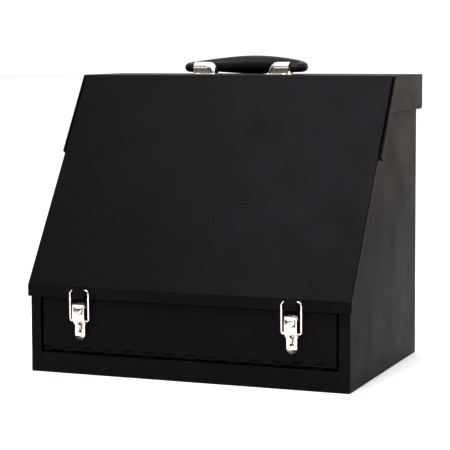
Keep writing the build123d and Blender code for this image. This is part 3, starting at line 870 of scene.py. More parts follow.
@dataclass(frozen=True)
class PowderCoat(Finish):
    """Black powder coat: pebbled, with small lighter specks where the texture peaks."""

    grain_roughness: float = 0.5
    speck_colour: Point3 = (0.0105, 0.0098, 0.0108)
    speck_range: Point = (0.55, 0.8)
    speck_amount: float = 0.8
    pebble_scale: float = 520.0
    mark_scale: float = 5.0
    mark_detail: float = 6.0
    mark_roughness: float = 0.65
    mark_range: Point = (0.48, 0.75)
    dust: float = 0.17

    def dress(self, graph: Graph, shader: bpy.types.Node, place: Socket) -> None:
        """Add specks and faint handling marks.

        Args:
            graph: the material's nodes.
            shader: the material's surface shader.
            place: Object coordinates.
        """
        super().dress(graph, shader, place)
        marks = graph.noise(place, self.mark_scale, self.mark_detail, self.mark_roughness)
        film = graph.remap(marks, self.mark_range, (0.0, self.dust))
        grain = self.grain(graph, place)
        specks = graph.remap(grain, self.speck_range, (0.0, self.speck_amount))
        amount = graph.math("MAXIMUM", film, specks)
        mix = graph.add("ShaderNodeMixRGB", {"Fac": amount})
        mix.inputs["Color1"].default_value = (*self.colour, 1.0)
        mix.inputs["Color2"].default_value = (*self.speck_colour, 1.0)
        graph.link(mix.outputs[0], shader.inputs["Base Color"])

    def relief(self, graph: Graph, place: Socket) -> Socket:
        """Grain with pebbles.

        Args:
            graph: the material's nodes.
            place: Object coordinates.

        Returns:
            The height.
        """
        values = {"Vector": place, "Scale": self.pebble_scale}
        pebble = graph.add("ShaderNodeTexVoronoi", values, feature="SMOOTH_F1")
        return graph.math("SUBTRACT", self.grain(graph, place), pebble.outputs["Distance"])


@dataclass(frozen=True)
class Plated(Finish):
    """Plated metal with fine brush lines along one direction."""

    grain_detail: float = 4.0
    grain_roughness: float = 0.5
    brush_stretch: Point3 = (1.0, 1.0, 0.05)

    def relief(self, graph: Graph, place: Socket) -> Socket:
        """Brush lines."""
        stretched = graph.make("ShaderNodeMapping", {"Vector": place, "Scale": self.brush_stretch})
        return self.grain(graph, stretched)


FINISHES: dict[Slot, Finish] = {
    Slot.POWDER_COAT: PowderCoat(
        name="black_powder_coat",
        colour=(0.0018, 0.0017, 0.0019),
        roughness=0.54,
        roughness_spread=0.05,
        grain_scale=450.0,
        grain_height=0.00028,
        specular=0.042,
    ),
    Slot.CHROME: Plated(
        name="bright_chrome",
        colour=(0.8, 0.75, 0.665),
        roughness=0.12,
        roughness_spread=0.05,
        grain_scale=1500.0,
        grain_height=0.00001,
        metallic=1.0,
    ),
    Slot.HANDLE: Finish(
        name="handle_moulding",
        colour=(0.0022, 0.0021, 0.0021),
        roughness=0.5,
        roughness_spread=0.06,
        grain_scale=1400.0,
        grain_height=0.00005,
        specular=0.12,
    ),
    Slot.RUBBER: Finish(
        name="seal_rubber",
        colour=(0.01, 0.01, 0.01),
        roughness=0.8,
        roughness_spread=0.08,
        grain_scale=600.0,
        grain_height=0.0001,
    ),
    Slot.STEEL: Plated(
        name="zinc_steel",
        colour=(0.5, 0.5, 0.49),
        roughness=0.33,
        roughness_spread=0.08,
        grain_scale=900.0,
        grain_height=0.00001,
        metallic=1.0,
    ),
}


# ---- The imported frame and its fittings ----


@dataclass(frozen=True)
class Box:
    """A node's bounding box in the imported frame."""

    low: Vector
    high: Vector

    @property
    def centre(self) -> Vector:
        """Middle of the box."""
        return (self.low + self.high) / 2

    @property
    def size(self) -> Vector:
        """Length of the box along each axis."""
        return self.high - self.low


class Workshop:
    """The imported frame, the materials and the rules that every sub-assembly uses."""

    def __init__(self, frame: dict[str, object]) -> None:
        """Load the materials and the rules.
        """
        self.nodes: dict[str, Piece] = frame["nodes"]
        subparts = frame["record"]["subparts"]
        self.slots = {entry["node"]: Slot(entry["material_slot"]) for entry in subparts}
        self.materials = {slot: finish.build() for slot, finish in FINISHES.items()}
        self.row = RowRule()
        self.rivets = RivetRule()
        self.bow = BowRule()

    def box(self, node: str) -> Box:
        """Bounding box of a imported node."""
        low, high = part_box(node)
        return Box(Vector(low), Vector(high))

    def fit(self, piece: Piece, body: Body, slot: Slot, node: str) -> None:
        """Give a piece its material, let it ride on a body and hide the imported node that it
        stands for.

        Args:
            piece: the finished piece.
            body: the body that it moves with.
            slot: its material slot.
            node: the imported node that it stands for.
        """
        piece.data.materials.clear()
        piece.data.materials.append(self.materials[slot])
        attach(piece, body.value)
        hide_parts(node)
        LOG.info("%s rides on %s, %d faces", piece.name, body.value, len(piece.data.polygons))

    def fit_soft(
        self,
        node: str,
        name: str,
        width: float,
        body: Body,
        slot: Slot = Slot.POWDER_COAT,
        weigh: Weigh | None = None,
    ) -> None:
        """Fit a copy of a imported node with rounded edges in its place.

        Args:
            node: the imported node.
            name: the copy's name.
            width: width of the rounding.
            body: the body that it moves with.
            slot: its material slot.
            weigh: share of the width for an edge, from its middle.
        """
        self.fit(soften(self.nodes[node], name, width, weigh), body, slot, node)

    def fit_rivets(
        self, node: str, name: str, spots: Iterable[Vector], normal: Point3, body: Body, seed: int
    ) -> None:
        """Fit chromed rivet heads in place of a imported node.

        Args:
            node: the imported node.
            name: the name of the row of heads.
            spots: the heads' places.
            normal: the direction that they face.
            body: the body that they move with.
            seed: seed of their turn.
        """
        heads = self.rivets.grow(
            points_mesh(name, spots),
            self.materials[Slot.CHROME],
            Radius=RIVET_RADIUS,
            Height=RIVET_HEIGHT,
            Normal=normal,
            Seed=seed,
        )
        self.fit(heads, body, Slot.CHROME, node)

    def dress_nodes(self) -> None:
        """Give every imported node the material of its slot."""
        for name, node in self.nodes.items():
            node.data.materials.clear()
            node.data.materials.append(self.materials[self.slots[name]])


# ---- Case ----


@dataclass(frozen=True)
class Case:
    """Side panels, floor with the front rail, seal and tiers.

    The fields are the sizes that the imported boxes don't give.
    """

    shop: Workshop
    sheet: float = 1.5 * MM
    bend: float = 2.2 * MM
    lid_clearance: float = 5.5 * MM
    rail_bend: float = 1.6 * MM
    trace: float = 0.2
    tier_edge: float = 0.4 * MM
    seal_edge: float = 1.4 * MM

    def outline(self, lid: "Lid") -> list[Point]:
        """Side outline, parallel to the lid's line.

        Args:
            lid: the lid, for its line.

        Returns:
            The outline in Y and Z.
        """
        panel = self.shop.box("right_side_panel")
        low, high = panel.low, panel.high
        inner = inset_line(lid.corners, self.lid_clearance)
        slope_start, slope_end = Vector(inner[1]), Vector(inner[2])
        rise = (slope_end.y - slope_start.y) / (slope_end.x - slope_start.x)
        front_top = slope_start.y + (low.y - slope_start.x) * rise
        top_front = slope_start.x + (high.z - slope_start.y) / rise
        back = [(high.y, high.z), (high.y, low.z)]
        return [(low.y, low.z), (low.y, front_top), (top_front, high.z), *back]

    def build(self, lid: "Lid") -> None:
        """Build the sides, the floor with its rail and the softened inner pieces.

        Args:
            lid: the lid, for its line.
        """
        shop = self.shop
        for side in Side:
            node = f"{side.label}_side_panel"
            box = shop.box(node)
            x_open, x_wall = (box.low.x, box.high.x)[:: side.value]
            name = f"{side.label}_case_side"
            panel = tray(name, self.outline(lid), x_open, x_wall, self.sheet, self.bend)
            shop.fit(panel, Body.CASE, Slot.POWDER_COAT, node)
        pan = shop.box("floor_pan")

        def weigh(middle: Vector) -> float:
            """Full bend along the rail's upper front edge, a trace elsewhere.

            Args:
                middle: the edge's middle.

            Returns:
                The share of the width.
            """
            near = self.sheet / 4
            at_front, at_top = abs(middle.y - pan.low.y) < near, abs(middle.z - pan.high.z) < near
            return 1.0 if at_front and at_top else self.trace

        shop.fit_soft("floor_pan", "floor_and_rail", self.rail_bend, Body.CASE, weigh=weigh)
        for name in ("lower_tier", "middle_tier", "upper_tier"):
            shop.fit_soft(name, f"{name}_tray", self.tier_edge, Body.CASE)
        shop.fit_soft("lid_seal", "opening_seal", self.seal_edge, Body.CASE, Slot.RUBBER)


# ---- Lid ----


@dataclass(frozen=True)
class Lid:
    """Hood with lip, slope and top, its two cheeks and the keepers.

    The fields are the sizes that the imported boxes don't give.
    """

    shop: Workshop
    sheet: float = 1.5 * MM
    lip_top: float = 145.0 * MM
    slope_setback: float = 225.0 * MM
    flange: float = 8.0 * MM
    bend: float = 3.2 * MM
    side_bend: float = 2.4 * MM
    cheek_bend: float = 1.4 * MM
    cheek_trace: float = 0.15
    cheek_inset: float = 1.6 * MM
    channel: float = 5.0 * MM
    step: float = 0.1 * MM
    keeper_edge: float = 0.35 * MM

    @property
    def panel(self) -> Box:
        """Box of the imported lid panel."""
        return self.shop.box("lid_panel")

    @property
    def corners(self) -> list[Point]:
        """Outer line from the lip's foot over slope and top to the rear hinge.

        Returns:
            The corners in Y and Z.
        """
        low, high = self.panel.low, self.panel.high
        return [
            (low.y, low.z),
            (low.y, self.lip_top),
            (self.shop.box("right_side_panel").low.y + self.slope_setback, high.z),
            (high.y, high.z),
            (high.y, self.shop.box("rear_hinge_rod").centre.z),
        ]

    def build(self) -> None:
        """Build hood, cheeks and keepers."""
        half = self.panel.high.x
        shell = hood(
            "lid_hood", self.corners, self.bend, half, self.flange, self.side_bend, self.sheet
        )
        self.shop.fit(shell, Body.LID, Slot.POWDER_COAT, "lid_panel")
        for side in Side:
            self.build_cheek(side)
            keeper = f"{side.label}_keeper"
            self.shop.fit_soft(keeper, f"{keeper}_block", self.keeper_edge, Body.LID)

    def build_cheek(self, side: Side) -> None:
        """One cheek with a rounded bend along its outer edges.

        Args:
            side: which side it is on.
        """
        node = f"{side.label}_lid_cheek"
        box = self.shop.box(node)
        outer = box.high.x if side is Side.RIGHT else box.low.x
        bottom = self.shop.box("rear_hinge_rod").centre.z

        def weigh(middle: Vector) -> float:
            """Full bend on the outer edges, a trace elsewhere.

            Args:
                middle: the edge's middle.

            Returns:
                The share of the width.
            """
            is_outer = abs(middle.x - outer) < self.sheet / 4
            at_foot = middle.z < bottom and middle.y > box.centre.y
            return 1.0 if is_outer and not at_foot else self.cheek_trace

        source = self.recess(self.shop.nodes[node], outer, side)
        cheek = soften(source, f"{side.label}_cheek", self.cheek_bend, weigh, segments=5)
        bpy.data.objects.remove(source)
        self.shop.fit(cheek, Body.LID, Slot.POWDER_COAT, node)

    def recess(self, node: Piece, outer: float, side: Side) -> Piece:
        """Copy a cheek and sink the return along its slope: a channel beside the hood.

        Args:
            node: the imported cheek.
            outer: X of its outer face.
            side: which side it is on.

        Returns:
            The copy, for the softening to start from.
        """
        work = flattened(node)
        foot = 2 * self.sheet
        for reach in (foot, foot + self.step):
            bmesh.ops.bisect_plane(
                work,
                geom=[*work.verts, *work.edges, *work.faces],
                plane_co=(outer - side.value * reach, 0, 0),
                plane_no=(1, 0, 0),
            )
        start, end = (Vector(corner) for corner in self.corners[1:3])
        below_top = self.panel.high.z - self.cheek_inset - 1.5 * self.sheet
        along = (end - start).normalized()
        inward = Vector((along.y, -along.x))
        for vert in work.verts:
            depth = (Vector((vert.co.y, vert.co.z)) - start).dot(inward) - self.cheek_inset
            reach = abs(vert.co.x - outer)
            on_outer = abs(depth) < self.sheet / 2
            on_inner = abs(depth - self.sheet) < self.sheet / 2
            past_foot = reach > foot + self.step / 2
            if (on_outer and past_foot) or (on_inner and reach > self.sheet / 2):
                vert.co.y += inward.x * self.channel
                vert.co.z += inward.y * self.channel
            elif on_outer and abs(reach - foot) < self.step / 2:
                vert.co.x = outer - side.value * (self.sheet + self.step * 2)
            if vert.co.z > below_top:
                vert.co.z += self.cheek_inset
        return close_mesh("cheek_source", work)


# ---- Hinges ----


@dataclass(frozen=True)
class HingeSize:
    """Sizes of a curled hinge; length is one knuckle's, pitch the distance between a leaf's."""

    sheet: float
    rod: float
    length: float
    pitch: float
    count: int
    gap: float = 0.5 * MM
    clearance: float = 0.05 * MM
    turn: float = math.radians(300.0)
    steps: int = 26

    @property
    def radius(self) -> float:
        """Outer radius of a knuckle."""
        return self.rod + self.clearance + self.sheet


REAR_HINGE = HingeSize(
    sheet=1.5 * MM, rod=2.0 * MM, length=20.5 * MM, pitch=42.0 * MM, count=12
)
FRONT_HINGE = HingeSize(
    sheet=1.2 * MM, rod=1.5 * MM, length=16.0 * MM, pitch=36.5 * MM, count=14
)


@dataclass(frozen=True)
class Knuckles:
    """A row of curled knuckles, made once and repeated by the row rule."""

    shop: Workshop
    size: HingeSize
    axis: Vector

    def curl(self, start: float, length: float, side: int, reach: float) -> Piece:
        """One knuckle with its tab.

        Args:
            start: X of its left end.
            length: its length along X.
            side: +1 with the tab behind the axis, -1 with the tab in front.
            reach: height of the tab's far end.

        Returns:
            The knuckle.
        """
        size, axis = self.size, self.axis
        up = 1 if reach > axis.z else -1
        lines = []
        for radius in (size.radius, size.radius - size.sheet):
            line: list[Point] = [(axis.y + side * radius, reach)]
            for step in range(size.steps + 1):
                turn = size.turn * step / size.steps
                across, high = side * math.cos(turn), -up * math.sin(turn)
                line.append((axis.y + radius * across, axis.z + radius * high))
            lines.append(line)
        return prism("knuckle", lines[0] + lines[1][::-1], start, start + length)

    def row(
        self, name: str, first: float, side: int, reach: float, count: int, length: float
    ) -> Piece:
        """Knuckles at the hinge's pitch, the first one starting at X first.

        Args:
            name: the row's name.
            first: X of the first knuckle's left end.
            side: +1 with the tabs behind the axis, -1 with the tabs in front.
            reach: height of the tabs' far ends.
            count: number of knuckles.
            length: length of a knuckle along X.

        Returns:
            The row as one piece.
        """
        seed = self.curl(first, length, side, reach)
        seed.name = name
        return self.shop.row.grow(
            seed, self.shop.materials[Slot.POWDER_COAT], Count=count, Pitch=self.size.pitch
        )


@dataclass(frozen=True)
class RearHinge:
    """Piano hinge between case and lid."""

    shop: Workshop
    size: HingeSize

    def build(self) -> None:
        """Build both leaves with alternating knuckles."""
        size, rod = self.size, self.shop.box("rear_hinge_rod")
        rows = Knuckles(self.shop, size, rod.centre)
        for node, body, side, offset in (
            ("rear_hinge_case_leaf", Body.CASE, -1, 0.0),
            ("rear_hinge_lid_leaf", Body.LID, 1, size.pitch / 2),
        ):
            box = self.shop.box(node)
            up = 1 if box.centre.z > rod.centre.z else -1
            shoulder = rod.centre.z + up * (size.radius + size.gap)
            first = rod.low.x + size.gap / 2 + offset
            curls = rows.row(f"{node}_curls", first, side, shoulder, size.count, size.length)
            face = rod.centre.y + side * size.radius
            y_low, y_high = sorted((face, face - side * size.sheet))
            z_low, z_high = sorted((shoulder, box.high.z if up > 0 else box.low.z))
            plate = block(
                f"{node}_plate", (rod.low.x, y_low, z_low), (rod.high.x, y_high, z_high)
            )
            leaf = join_meshes(f"{node}_sheet", [curls, plate])
            self.shop.fit(leaf, body, Slot.POWDER_COAT, node)


@dataclass(frozen=True)
class DropFront:
    """Front panel with its rolled lower edge, and the rail's knuckles that show in its notches.

    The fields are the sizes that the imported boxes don't give.
    """

    shop: Workshop
    size: HingeSize
    first: float = -246.8 * MM
    notch_rise: float = 0.9 * MM
    bend: float = 1.6 * MM
    side_bend: float = 1.3 * MM
    knuckle_foot: float = 33.5 * MM
    strip_top: float = 35.0 * MM

    def build(self) -> None:
        """Build the pan, its rolled edge and the leaf on the rail."""
        size = self.size
        box, axis = self.shop.box("front_panel"), self.shop.box("front_hinge_rod").centre
        notch_top = axis.z + size.radius + self.notch_rise
        line = [(box.low.y, notch_top), (box.low.y, box.high.z), (box.high.y, box.high.z)]
        flange = box.size.y - size.sheet
        pan = hood(
            "front_pan", line, self.bend, box.high.x, flange, self.side_bend, size.sheet
        )
        rows = Knuckles(self.shop, size, axis)
        start = self.first + size.length / 2 + size.gap
        length = size.pitch - size.length - 2 * size.gap
        rolls = rows.row("front_rolls", start, -1, notch_top, size.count - 1, length)
        last_start = start + size.pitch * (size.count - 1)
        end_roll = rows.curl(last_start, box.high.x - last_start, -1, notch_top)
        panel = join_meshes("drop_front_sheet", [pan, rolls, end_roll])
        self.shop.fit(panel, Body.DROP_FRONT, Slot.POWDER_COAT, "front_panel")
        self.build_leaf(rows)

    def build_leaf(self, rows: Knuckles) -> None:
        """Build the rail's hinge leaf with its knuckles.

        Args:
            rows: the hinge's knuckles.
        """
        size = self.size
        box = self.shop.box("front_hinge_leaf")
        foot = self.shop.box("floor_pan").low.z + self.knuckle_foot
        first = self.first - size.length / 2
        curls = rows.row("rail_curls", first, 1, foot, size.count, size.length)
        face = rows.axis.y + size.radius
        strip = block(
            "rail_strip",
            (box.low.x, face - size.sheet, box.low.z),
            (box.high.x, face, self.strip_top),
        )
        leaf = join_meshes("rail_leaf", [curls, strip])
        self.shop.fit(leaf, Body.CASE, Slot.POWDER_COAT, "front_hinge_leaf")


# ---- Handle ----


@dataclass(frozen=True)
class Handle:
    """Carrying handle: a bow on two pins, in plated saddles.

    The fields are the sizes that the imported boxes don't give.
    """

    shop: Workshop
    end_radius: float = 7.8 * MM
    middle_radius: float = 16.2 * MM
    swell_power: float = 2.4
    half_length: float = 104.5 * MM
    reach: float = 63.0 * MM
    turn: float = 12.0 * MM
    rise: float = 4.7 * MM
    seam: float = 0.012
    path_steps: int = 72
    elbow_steps: int = 12
    crown: float = 11.0 * MM
    least_crown: float = 1.0 * MM
    crown_share: float = 0.9
    end_round: float = 15.0 * MM
    end_narrow: float = 5.0 * MM
    end_drop: float = 16.0 * MM
    pin_keep: float = 6.0 * MM
    stub_play: float = 0.6 * MM
    bow_sides: int = 48
    cover_length: float = 38.0 * MM
    cover_half: float = 14.0 * MM
    cover_steps: int = 14
    crown_steps: int = 12
    mouth_depth: float = 3.0 * MM
    foot_edge: float = 0.5 * MM
    rivet_inset: float = 8.0 * MM
    saddle_sheet: float = 2.0 * MM
    foot_round: float = 4.0 * MM

    @property
    def axis(self) -> Vector:
        """A point on the axis of the handle's pins."""
        return self.shop.box("right_handle_pin").centre

    def path(self) -> list[Vector]:
        """Centre line from stub to stub: an elbow, half an ellipse and an elbow.

        Returns:
            Its points.
        """
        lay = math.atan2(self.rise, self.reach)
        corner = self.half_length - self.turn
        stub_end = self.shop.box("right_handle_saddle").high.x + self.stub_play
        flat: list[Point] = [(stub_end, 0.0)]
        for step in range(self.elbow_steps + 1):
            angle = math.pi / 2 * step / self.elbow_steps
            flat.append((corner + self.turn * math.sin(angle), self.turn * (1 - math.cos(angle))))
        for step in range(1, self.path_steps):
            angle = math.pi * step / self.path_steps
            out = self.turn + (self.reach - self.turn) * math.sin(angle)
            flat.append((self.half_length * math.cos(angle), out))
        right = [point for point in flat if point[0] > MERGE_DISTANCE]
        apex = [(0.0, self.reach)]
        line = right + apex + [(-x, y) for x, y in reversed(right)]
        tilt = Vector((0.0, math.cos(lay), math.sin(lay)))
        start = Vector((0.0, *self.axis.yz))
        return [start + Vector((x, 0.0, 0.0)) + tilt * y for x, y in line]

    def build(self) -> None:
        """Build the bow, the saddles and their rivets."""
        bow = self.shop.bow.grow(
            points_mesh("handle_bow", self.path(), chained=True),
            self.shop.materials[Slot.HANDLE],
            End_Radius=self.end_radius,
            Swell=self.middle_radius - self.end_radius,
            Power=self.swell_power,
            Seam_Depth=self.seam,
            Sides=self.bow_sides,
        )
        self.shop.fit(bow, Body.HANDLE, Slot.HANDLE, "handle_grip")
        for side in Side:
            self.build_saddle(side)
            self.build_hinge_pin(side)
        self.build_rivets()

    def arch(self, box: Box, inset: float, half: float, drop: float = 0.0) -> list[Point]:
        """Arched section of a saddle in Y and Z, moved inwards and its top lowered.

        Args:
            box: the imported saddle's box.
            inset: distance inwards from the outer face.
            half: half of the outer width.
            drop: how far the top is lowered.

        Returns:
            The section's points.
        """
        centre = self.axis.y
        half -= inset
        foot, top = box.low.z, box.high.z - inset - drop
        corners = [(centre - half, foot), (centre - half, top)]
        corners += [(centre + half, top), (centre + half, foot)]
        crown = min(max(self.crown - inset, self.least_crown), self.crown_share * (top - foot))
        return rounded(corners, crown, steps=self.crown_steps)

    def build_saddle(self, side: Side) -> None:
        """One saddle: a rounded cover that opens towards the handle, on a foot plate.

        Args:
            side: which side it is on.
        """
        node = f"{side.label}_handle_saddle"
        box = self.shop.box(node)
        sign = side.value
        outer = box.high.x if sign > 0 else -box.low.x
        inner = outer - self.cover_length
        half = self.cover_half
        stations: list[Point] = [(outer, 0.0), (inner + self.end_round, 0.0)]
        for step in range(1, self.cover_steps + 1):
            angle = math.pi / 2 * step / self.cover_steps
            stations.append((inner + self.end_round * (1 - math.sin(angle)), 1 - math.cos(angle)))
        work = bmesh.new()
        rings = [
            [
                work.verts.new((sign * x, y, z))
                for y, z in self.arch(box, self.end_narrow * part, half, self.end_drop * part)
            ]
            for x, part in stations
        ]
        lining = [
            [work.verts.new((sign * x, y, z)) for y, z in self.arch(box, self.saddle_sheet, half)]
            for x in (outer, outer - self.mouth_depth)
        ]
        bridge(work, rings, closed=True)
        work.faces.new(rings[-1])
        bridge(work, [rings[0], *lining], closed=True)
        work.faces.new(lining[-1])
        cover = close_mesh("cover", work)
        far = outer - box.size.x
        corners = [(far, box.low.y), (outer, box.low.y), (outer, box.high.y), (far, box.high.y)]
        outline = rounded(corners, self.foot_round, closed=True)
        heights = (box.low.z, box.low.z + self.saddle_sheet)
        plate = loft("foot", [[Vector((sign * x, y, z)) for x, y in outline] for z in heights])
        foot = bevel(plate, self.foot_edge)
        saddle = join_meshes(f"{side.label}_saddle", [cover, foot])
        self.shop.fit(saddle, Body.LID, Slot.CHROME, node)

    def build_hinge_pin(self, side: Side) -> None:
        """Hinge pin, kept back from the rounded end of its saddle.

        Args:
            side: which side it is on.
        """
        node = f"{side.label}_handle_pin"
        box = self.shop.box(node)
        radius = box.size.z / 2
        inner = -side.value * (box.size.x / 2 - self.pin_keep)
        outer = side.value * box.size.x / 2
        pin = lathe_x(f"{side.label}_hinge_pin", [(inner, radius), (outer, radius)], box.centre)
        self.shop.fit(pin, Body.LID, Slot.STEEL, node)

    def build_rivets(self) -> None:
        """Rivet heads on the foot plates."""
        box = self.shop.box("handle_rivets")
        saddle = self.shop.box("right_handle_saddle")
        reach = saddle.size.x / 2 - self.rivet_inset
        spots = [
            Vector((side.value * saddle.centre.x + along * reach, y, box.low.z))
            for side in Side
            for along in (-1, 1)
            for y in (box.low.y + RIVET_RADIUS, box.high.y - RIVET_RADIUS)
        ]
        self.shop.fit_rivets(
            "handle_rivets", "saddle_rivets", spots, (0.0, 0.0, 1.0), Body.LID, seed=7
        )


# ---- Latches ----


@dataclass(frozen=True)
class Latch:
    """One draw latch: plate, pin, lever, bail and padlock staple.

    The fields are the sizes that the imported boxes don't give.
    """

    shop: Workshop
    side: Side
    wire: float = 1.6 * MM
    corner: float = 5.4 * MM
    foot: float = 3.4 * MM
    pin: float = 2.0 * MM
    pin_head: float = 3.2 * MM
    pin_head_height: float = 1.2 * MM
    strap: float = 11.2 * MM
    strap_lift: float = 6.0 * MM
    tab: float = 12.0 * MM
    tab_rise: float = 0.6 * MM
    ear: float = 3.4 * MM
    bridge: float = 7.6 * MM
    bridge_drop: float = 4.9 * MM
    slot: float = 2.0 * MM
    slot_height: float = 7.8 * MM
    mouth: float = 6.8 * MM
    mouth_reach: float = 8.3 * MM
    foot_reach: float = 9.6 * MM
    steps: int = 8
    pin_crown: float = 0.6
    sheet_edge: float = 0.4 * MM
    staple_edge: float = 0.5 * MM

    def name(self, part: str) -> str:
        """Name of one of the side's parts."""
        return f"{self.side.label}_{part}"

    def box(self, part: str) -> Box:
        """Bounding box of one of the side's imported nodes."""
        return self.shop.box(self.name(part))

    def build(self) -> None:
        """Build the latch's pieces."""
        front, lever = Body.DROP_FRONT, Body(self.name("lever"))
        self.press("latch_plate", "back_plate", self.sheet_edge, front, self.plate_cuts())
        self.press("padlock_staple", "staple", self.staple_edge, front)
        self.press("lever", "pressed_lever", self.sheet_edge, lever, self.lever_cuts())
        self.build_pin()
        self.build_bail()

    def press(
        self, part: str, name: str, edge: float, body: Body, cutters: Sequence[Piece] = ()
    ) -> None:
        """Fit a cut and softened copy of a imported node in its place.

        Args:
            part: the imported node.
            name: the copy's name.
            edge: width of its rounded edges.
            body: the body that it moves with.
            cutters: shapes to cut out of it.
        """
        source = carve(self.shop.nodes[self.name(part)], cutters)
        piece = soften(source, self.name(name), edge)
        bpy.data.objects.remove(source)
        self.shop.fit(piece, body, Slot.CHROME, self.name(part))

    def cuts(self, part: str, spans: Sequence[tuple[float, float, float, float]]) -> list[Piece]:
        """Cutters through a node from front to back, mirrored about its middle.

        Args:
            part: the node to cut.
            spans: for each cutter its distance from the middle at both sides and both heights.

        Returns:
            The cutters.
        """
        box = self.box(part)
        shapes = []
        for index, (near, far, low, high) in enumerate(spans):
            for sign in (-1, 1) if near > 0 else (1,):
                x_low, x_high = sorted((box.centre.x + sign * near, box.centre.x + sign * far))
                low_corner = (x_low, box.low.y - MM, low)
                high_corner = (x_high, box.high.y + MM, high)
                shapes.append(block(f"{part}_cut_{index}_{sign + 1}", low_corner, high_corner))
        return shapes

    def plate_cuts(self) -> list[Piece]:
        """Cutters that leave a narrow strap, wide only where the ears stand, with a tab on top.

        Returns:
            The cutters.
        """
        box, lever = self.box("latch_plate"), self.box("lever")
        pivot = self.box("latch_pin").centre.z
        far, foot, top = box.size.x, box.low.z - MM, box.high.z + MM
        spans = [
            (self.strap / 2, far, foot, pivot - self.ear),
            (self.tab / 2, far, pivot + self.ear, top),
            (-far, far, lever.high.z + self.tab_rise, top),
            (-far, far, foot, lever.low.z + self.strap_lift),
        ]
        return self.cuts("latch_plate", spans)

    def lever_cuts(self) -> list[Piece]:
        """Cutters that deepen the two slots beside the bridge and widen the tongue's slot.

        Returns:
            The cutters.
        """
        top = self.box("lever").high.z - self.bridge_drop
        middle = self.box("padlock_staple").centre.z
        slot, mouth = self.slot / 2, self.mouth / 2
        spans = [
            (self.bridge - slot, self.bridge + slot, top - self.slot_height, top),
            (-mouth, mouth, middle - self.mouth_reach, middle + self.mouth_reach),
        ]
        return self.cuts("lever", spans)

    def build_pin(self) -> None:
        """Headed pin through ears and lever."""
        box = self.box("latch_pin")
        half = box.size.x / 2
        shank, shoulder = half - self.pin_head_height, half - self.pin_head_height / 3
        end = [(shank, self.pin), (shank, self.pin_head)]
        end += [(shoulder, self.pin_head), (half, self.pin_head * self.pin_crown)]
        profile = [(-x, radius) for x, radius in reversed(end)] + end
        pin = lathe_x(self.name("headed_pin"), profile, box.centre)
        self.shop.fit(pin, Body.DROP_FRONT, Slot.CHROME, self.name("latch_pin"))

    def build_bail(self) -> None:
        """Wire loop with rounded corners and feet."""
        box = self.box("bail")
        low_z, rise = box.low.z + self.wire, box.size.z - 2 * self.wire
        foot_y, bar_y = box.high.y - self.wire, box.low.y + self.wire
        leg, foot = box.size.x / 2 - self.wire, self.foot_reach
        outline = [(-foot, 0.0), (-leg, 0.0), (-leg, rise), (leg, rise), (leg, 0.0), (foot, 0.0)]
        line = rounded(outline, self.foot, self.steps)
        upper = slice(self.steps + 2, 3 * self.steps + 4)
        line[upper] = rounded(outline, self.corner, self.steps)[upper]
        path = [
            Vector((box.centre.x + x, foot_y + (bar_y - foot_y) * high / rise, low_z + high))
            for x, high in line
        ]
        wire = tube(self.name("wire_bail"), path, self.wire)
        self.shop.fit(wire, Body(self.name("bail")), Slot.CHROME, self.name("bail"))


def build_latch_rivets(shop: Workshop) -> None:
    """Rivet heads of both latch plates.

    Args:
        shop: the workshop.
    """
    box = shop.box("latch_rivets")
    spots = [
        Vector((shop.box(f"{side.label}_latch_plate").centre.x, box.high.y, z))
        for side in Side
        for z in (box.low.z + RIVET_RADIUS, box.high.z - RIVET_RADIUS)
    ]
    shop.fit_rivets(
        "latch_rivets", "plate_rivets", spots, (0.0, -1.0, 0.0), Body.DROP_FRONT, seed=11
    )


# ---- Studio ----


@dataclass(frozen=True)
class Softbox:
    """A rectangular area light that faces a point."""

    name: str
    place: Point3
    aim: Point3
    size: Point
    power: float
    colour: Point3 = (1.0, 1.0, 1.0)

    def build(self) -> None:
        """Put the light into the scene."""
        light = bpy.data.lights.new(self.name, "AREA")
        light.shape = "RECTANGLE"
        light.size, light.size_y = self.size
        light.energy = self.power
        light.color = self.colour
        lamp = add_object(self.name, light)
        lamp.visible_camera = False
        lamp.location = self.place
        aim = Vector(self.aim) - Vector(self.place)
        lamp.rotation_euler = aim.to_track_quat("-Z", "Y").to_euler()


SOFT_WHITE = (1.0, 0.97, 0.93)
WARM_WHITE = (1.0, 0.95, 0.9)
MAGENTA_WHITE = (1.0, 0.87, 1.07)
SOFTBOXES = (
    Softbox("overhead", (0.0, 2.0, 4.5), (0.0, 1.6, 0.0), (7.0, 6.0), 115.0, (1.0, 0.99, 0.98)),
    Softbox("far_floor", (0.0, 16.0, 6.0), (0.0, 16.0, 0.0), (24.0, 18.0), 700.0),
    Softbox("front_top", (0.0, -0.85, 1.75), (0.15, -0.1, 0.25), (0.7, 0.5), 36.0, MAGENTA_WHITE),
    Softbox("right_strip", (1.9, -0.45, 1.5), (0.28, -0.05, 0.3), (0.4, 1.2), 12.0, WARM_WHITE),
    Softbox("front_strip", (-1.1, -2.74, 1.26), (0.0, -0.2, 0.07), (1.0, 0.7), 3.0, SOFT_WHITE),
    Softbox("back_right", (1.9, 3.6, 1.0), (0.2, 0.0, 0.35), (1.2, 1.2), 18.0, (1.0, 0.74, 0.5)),
)


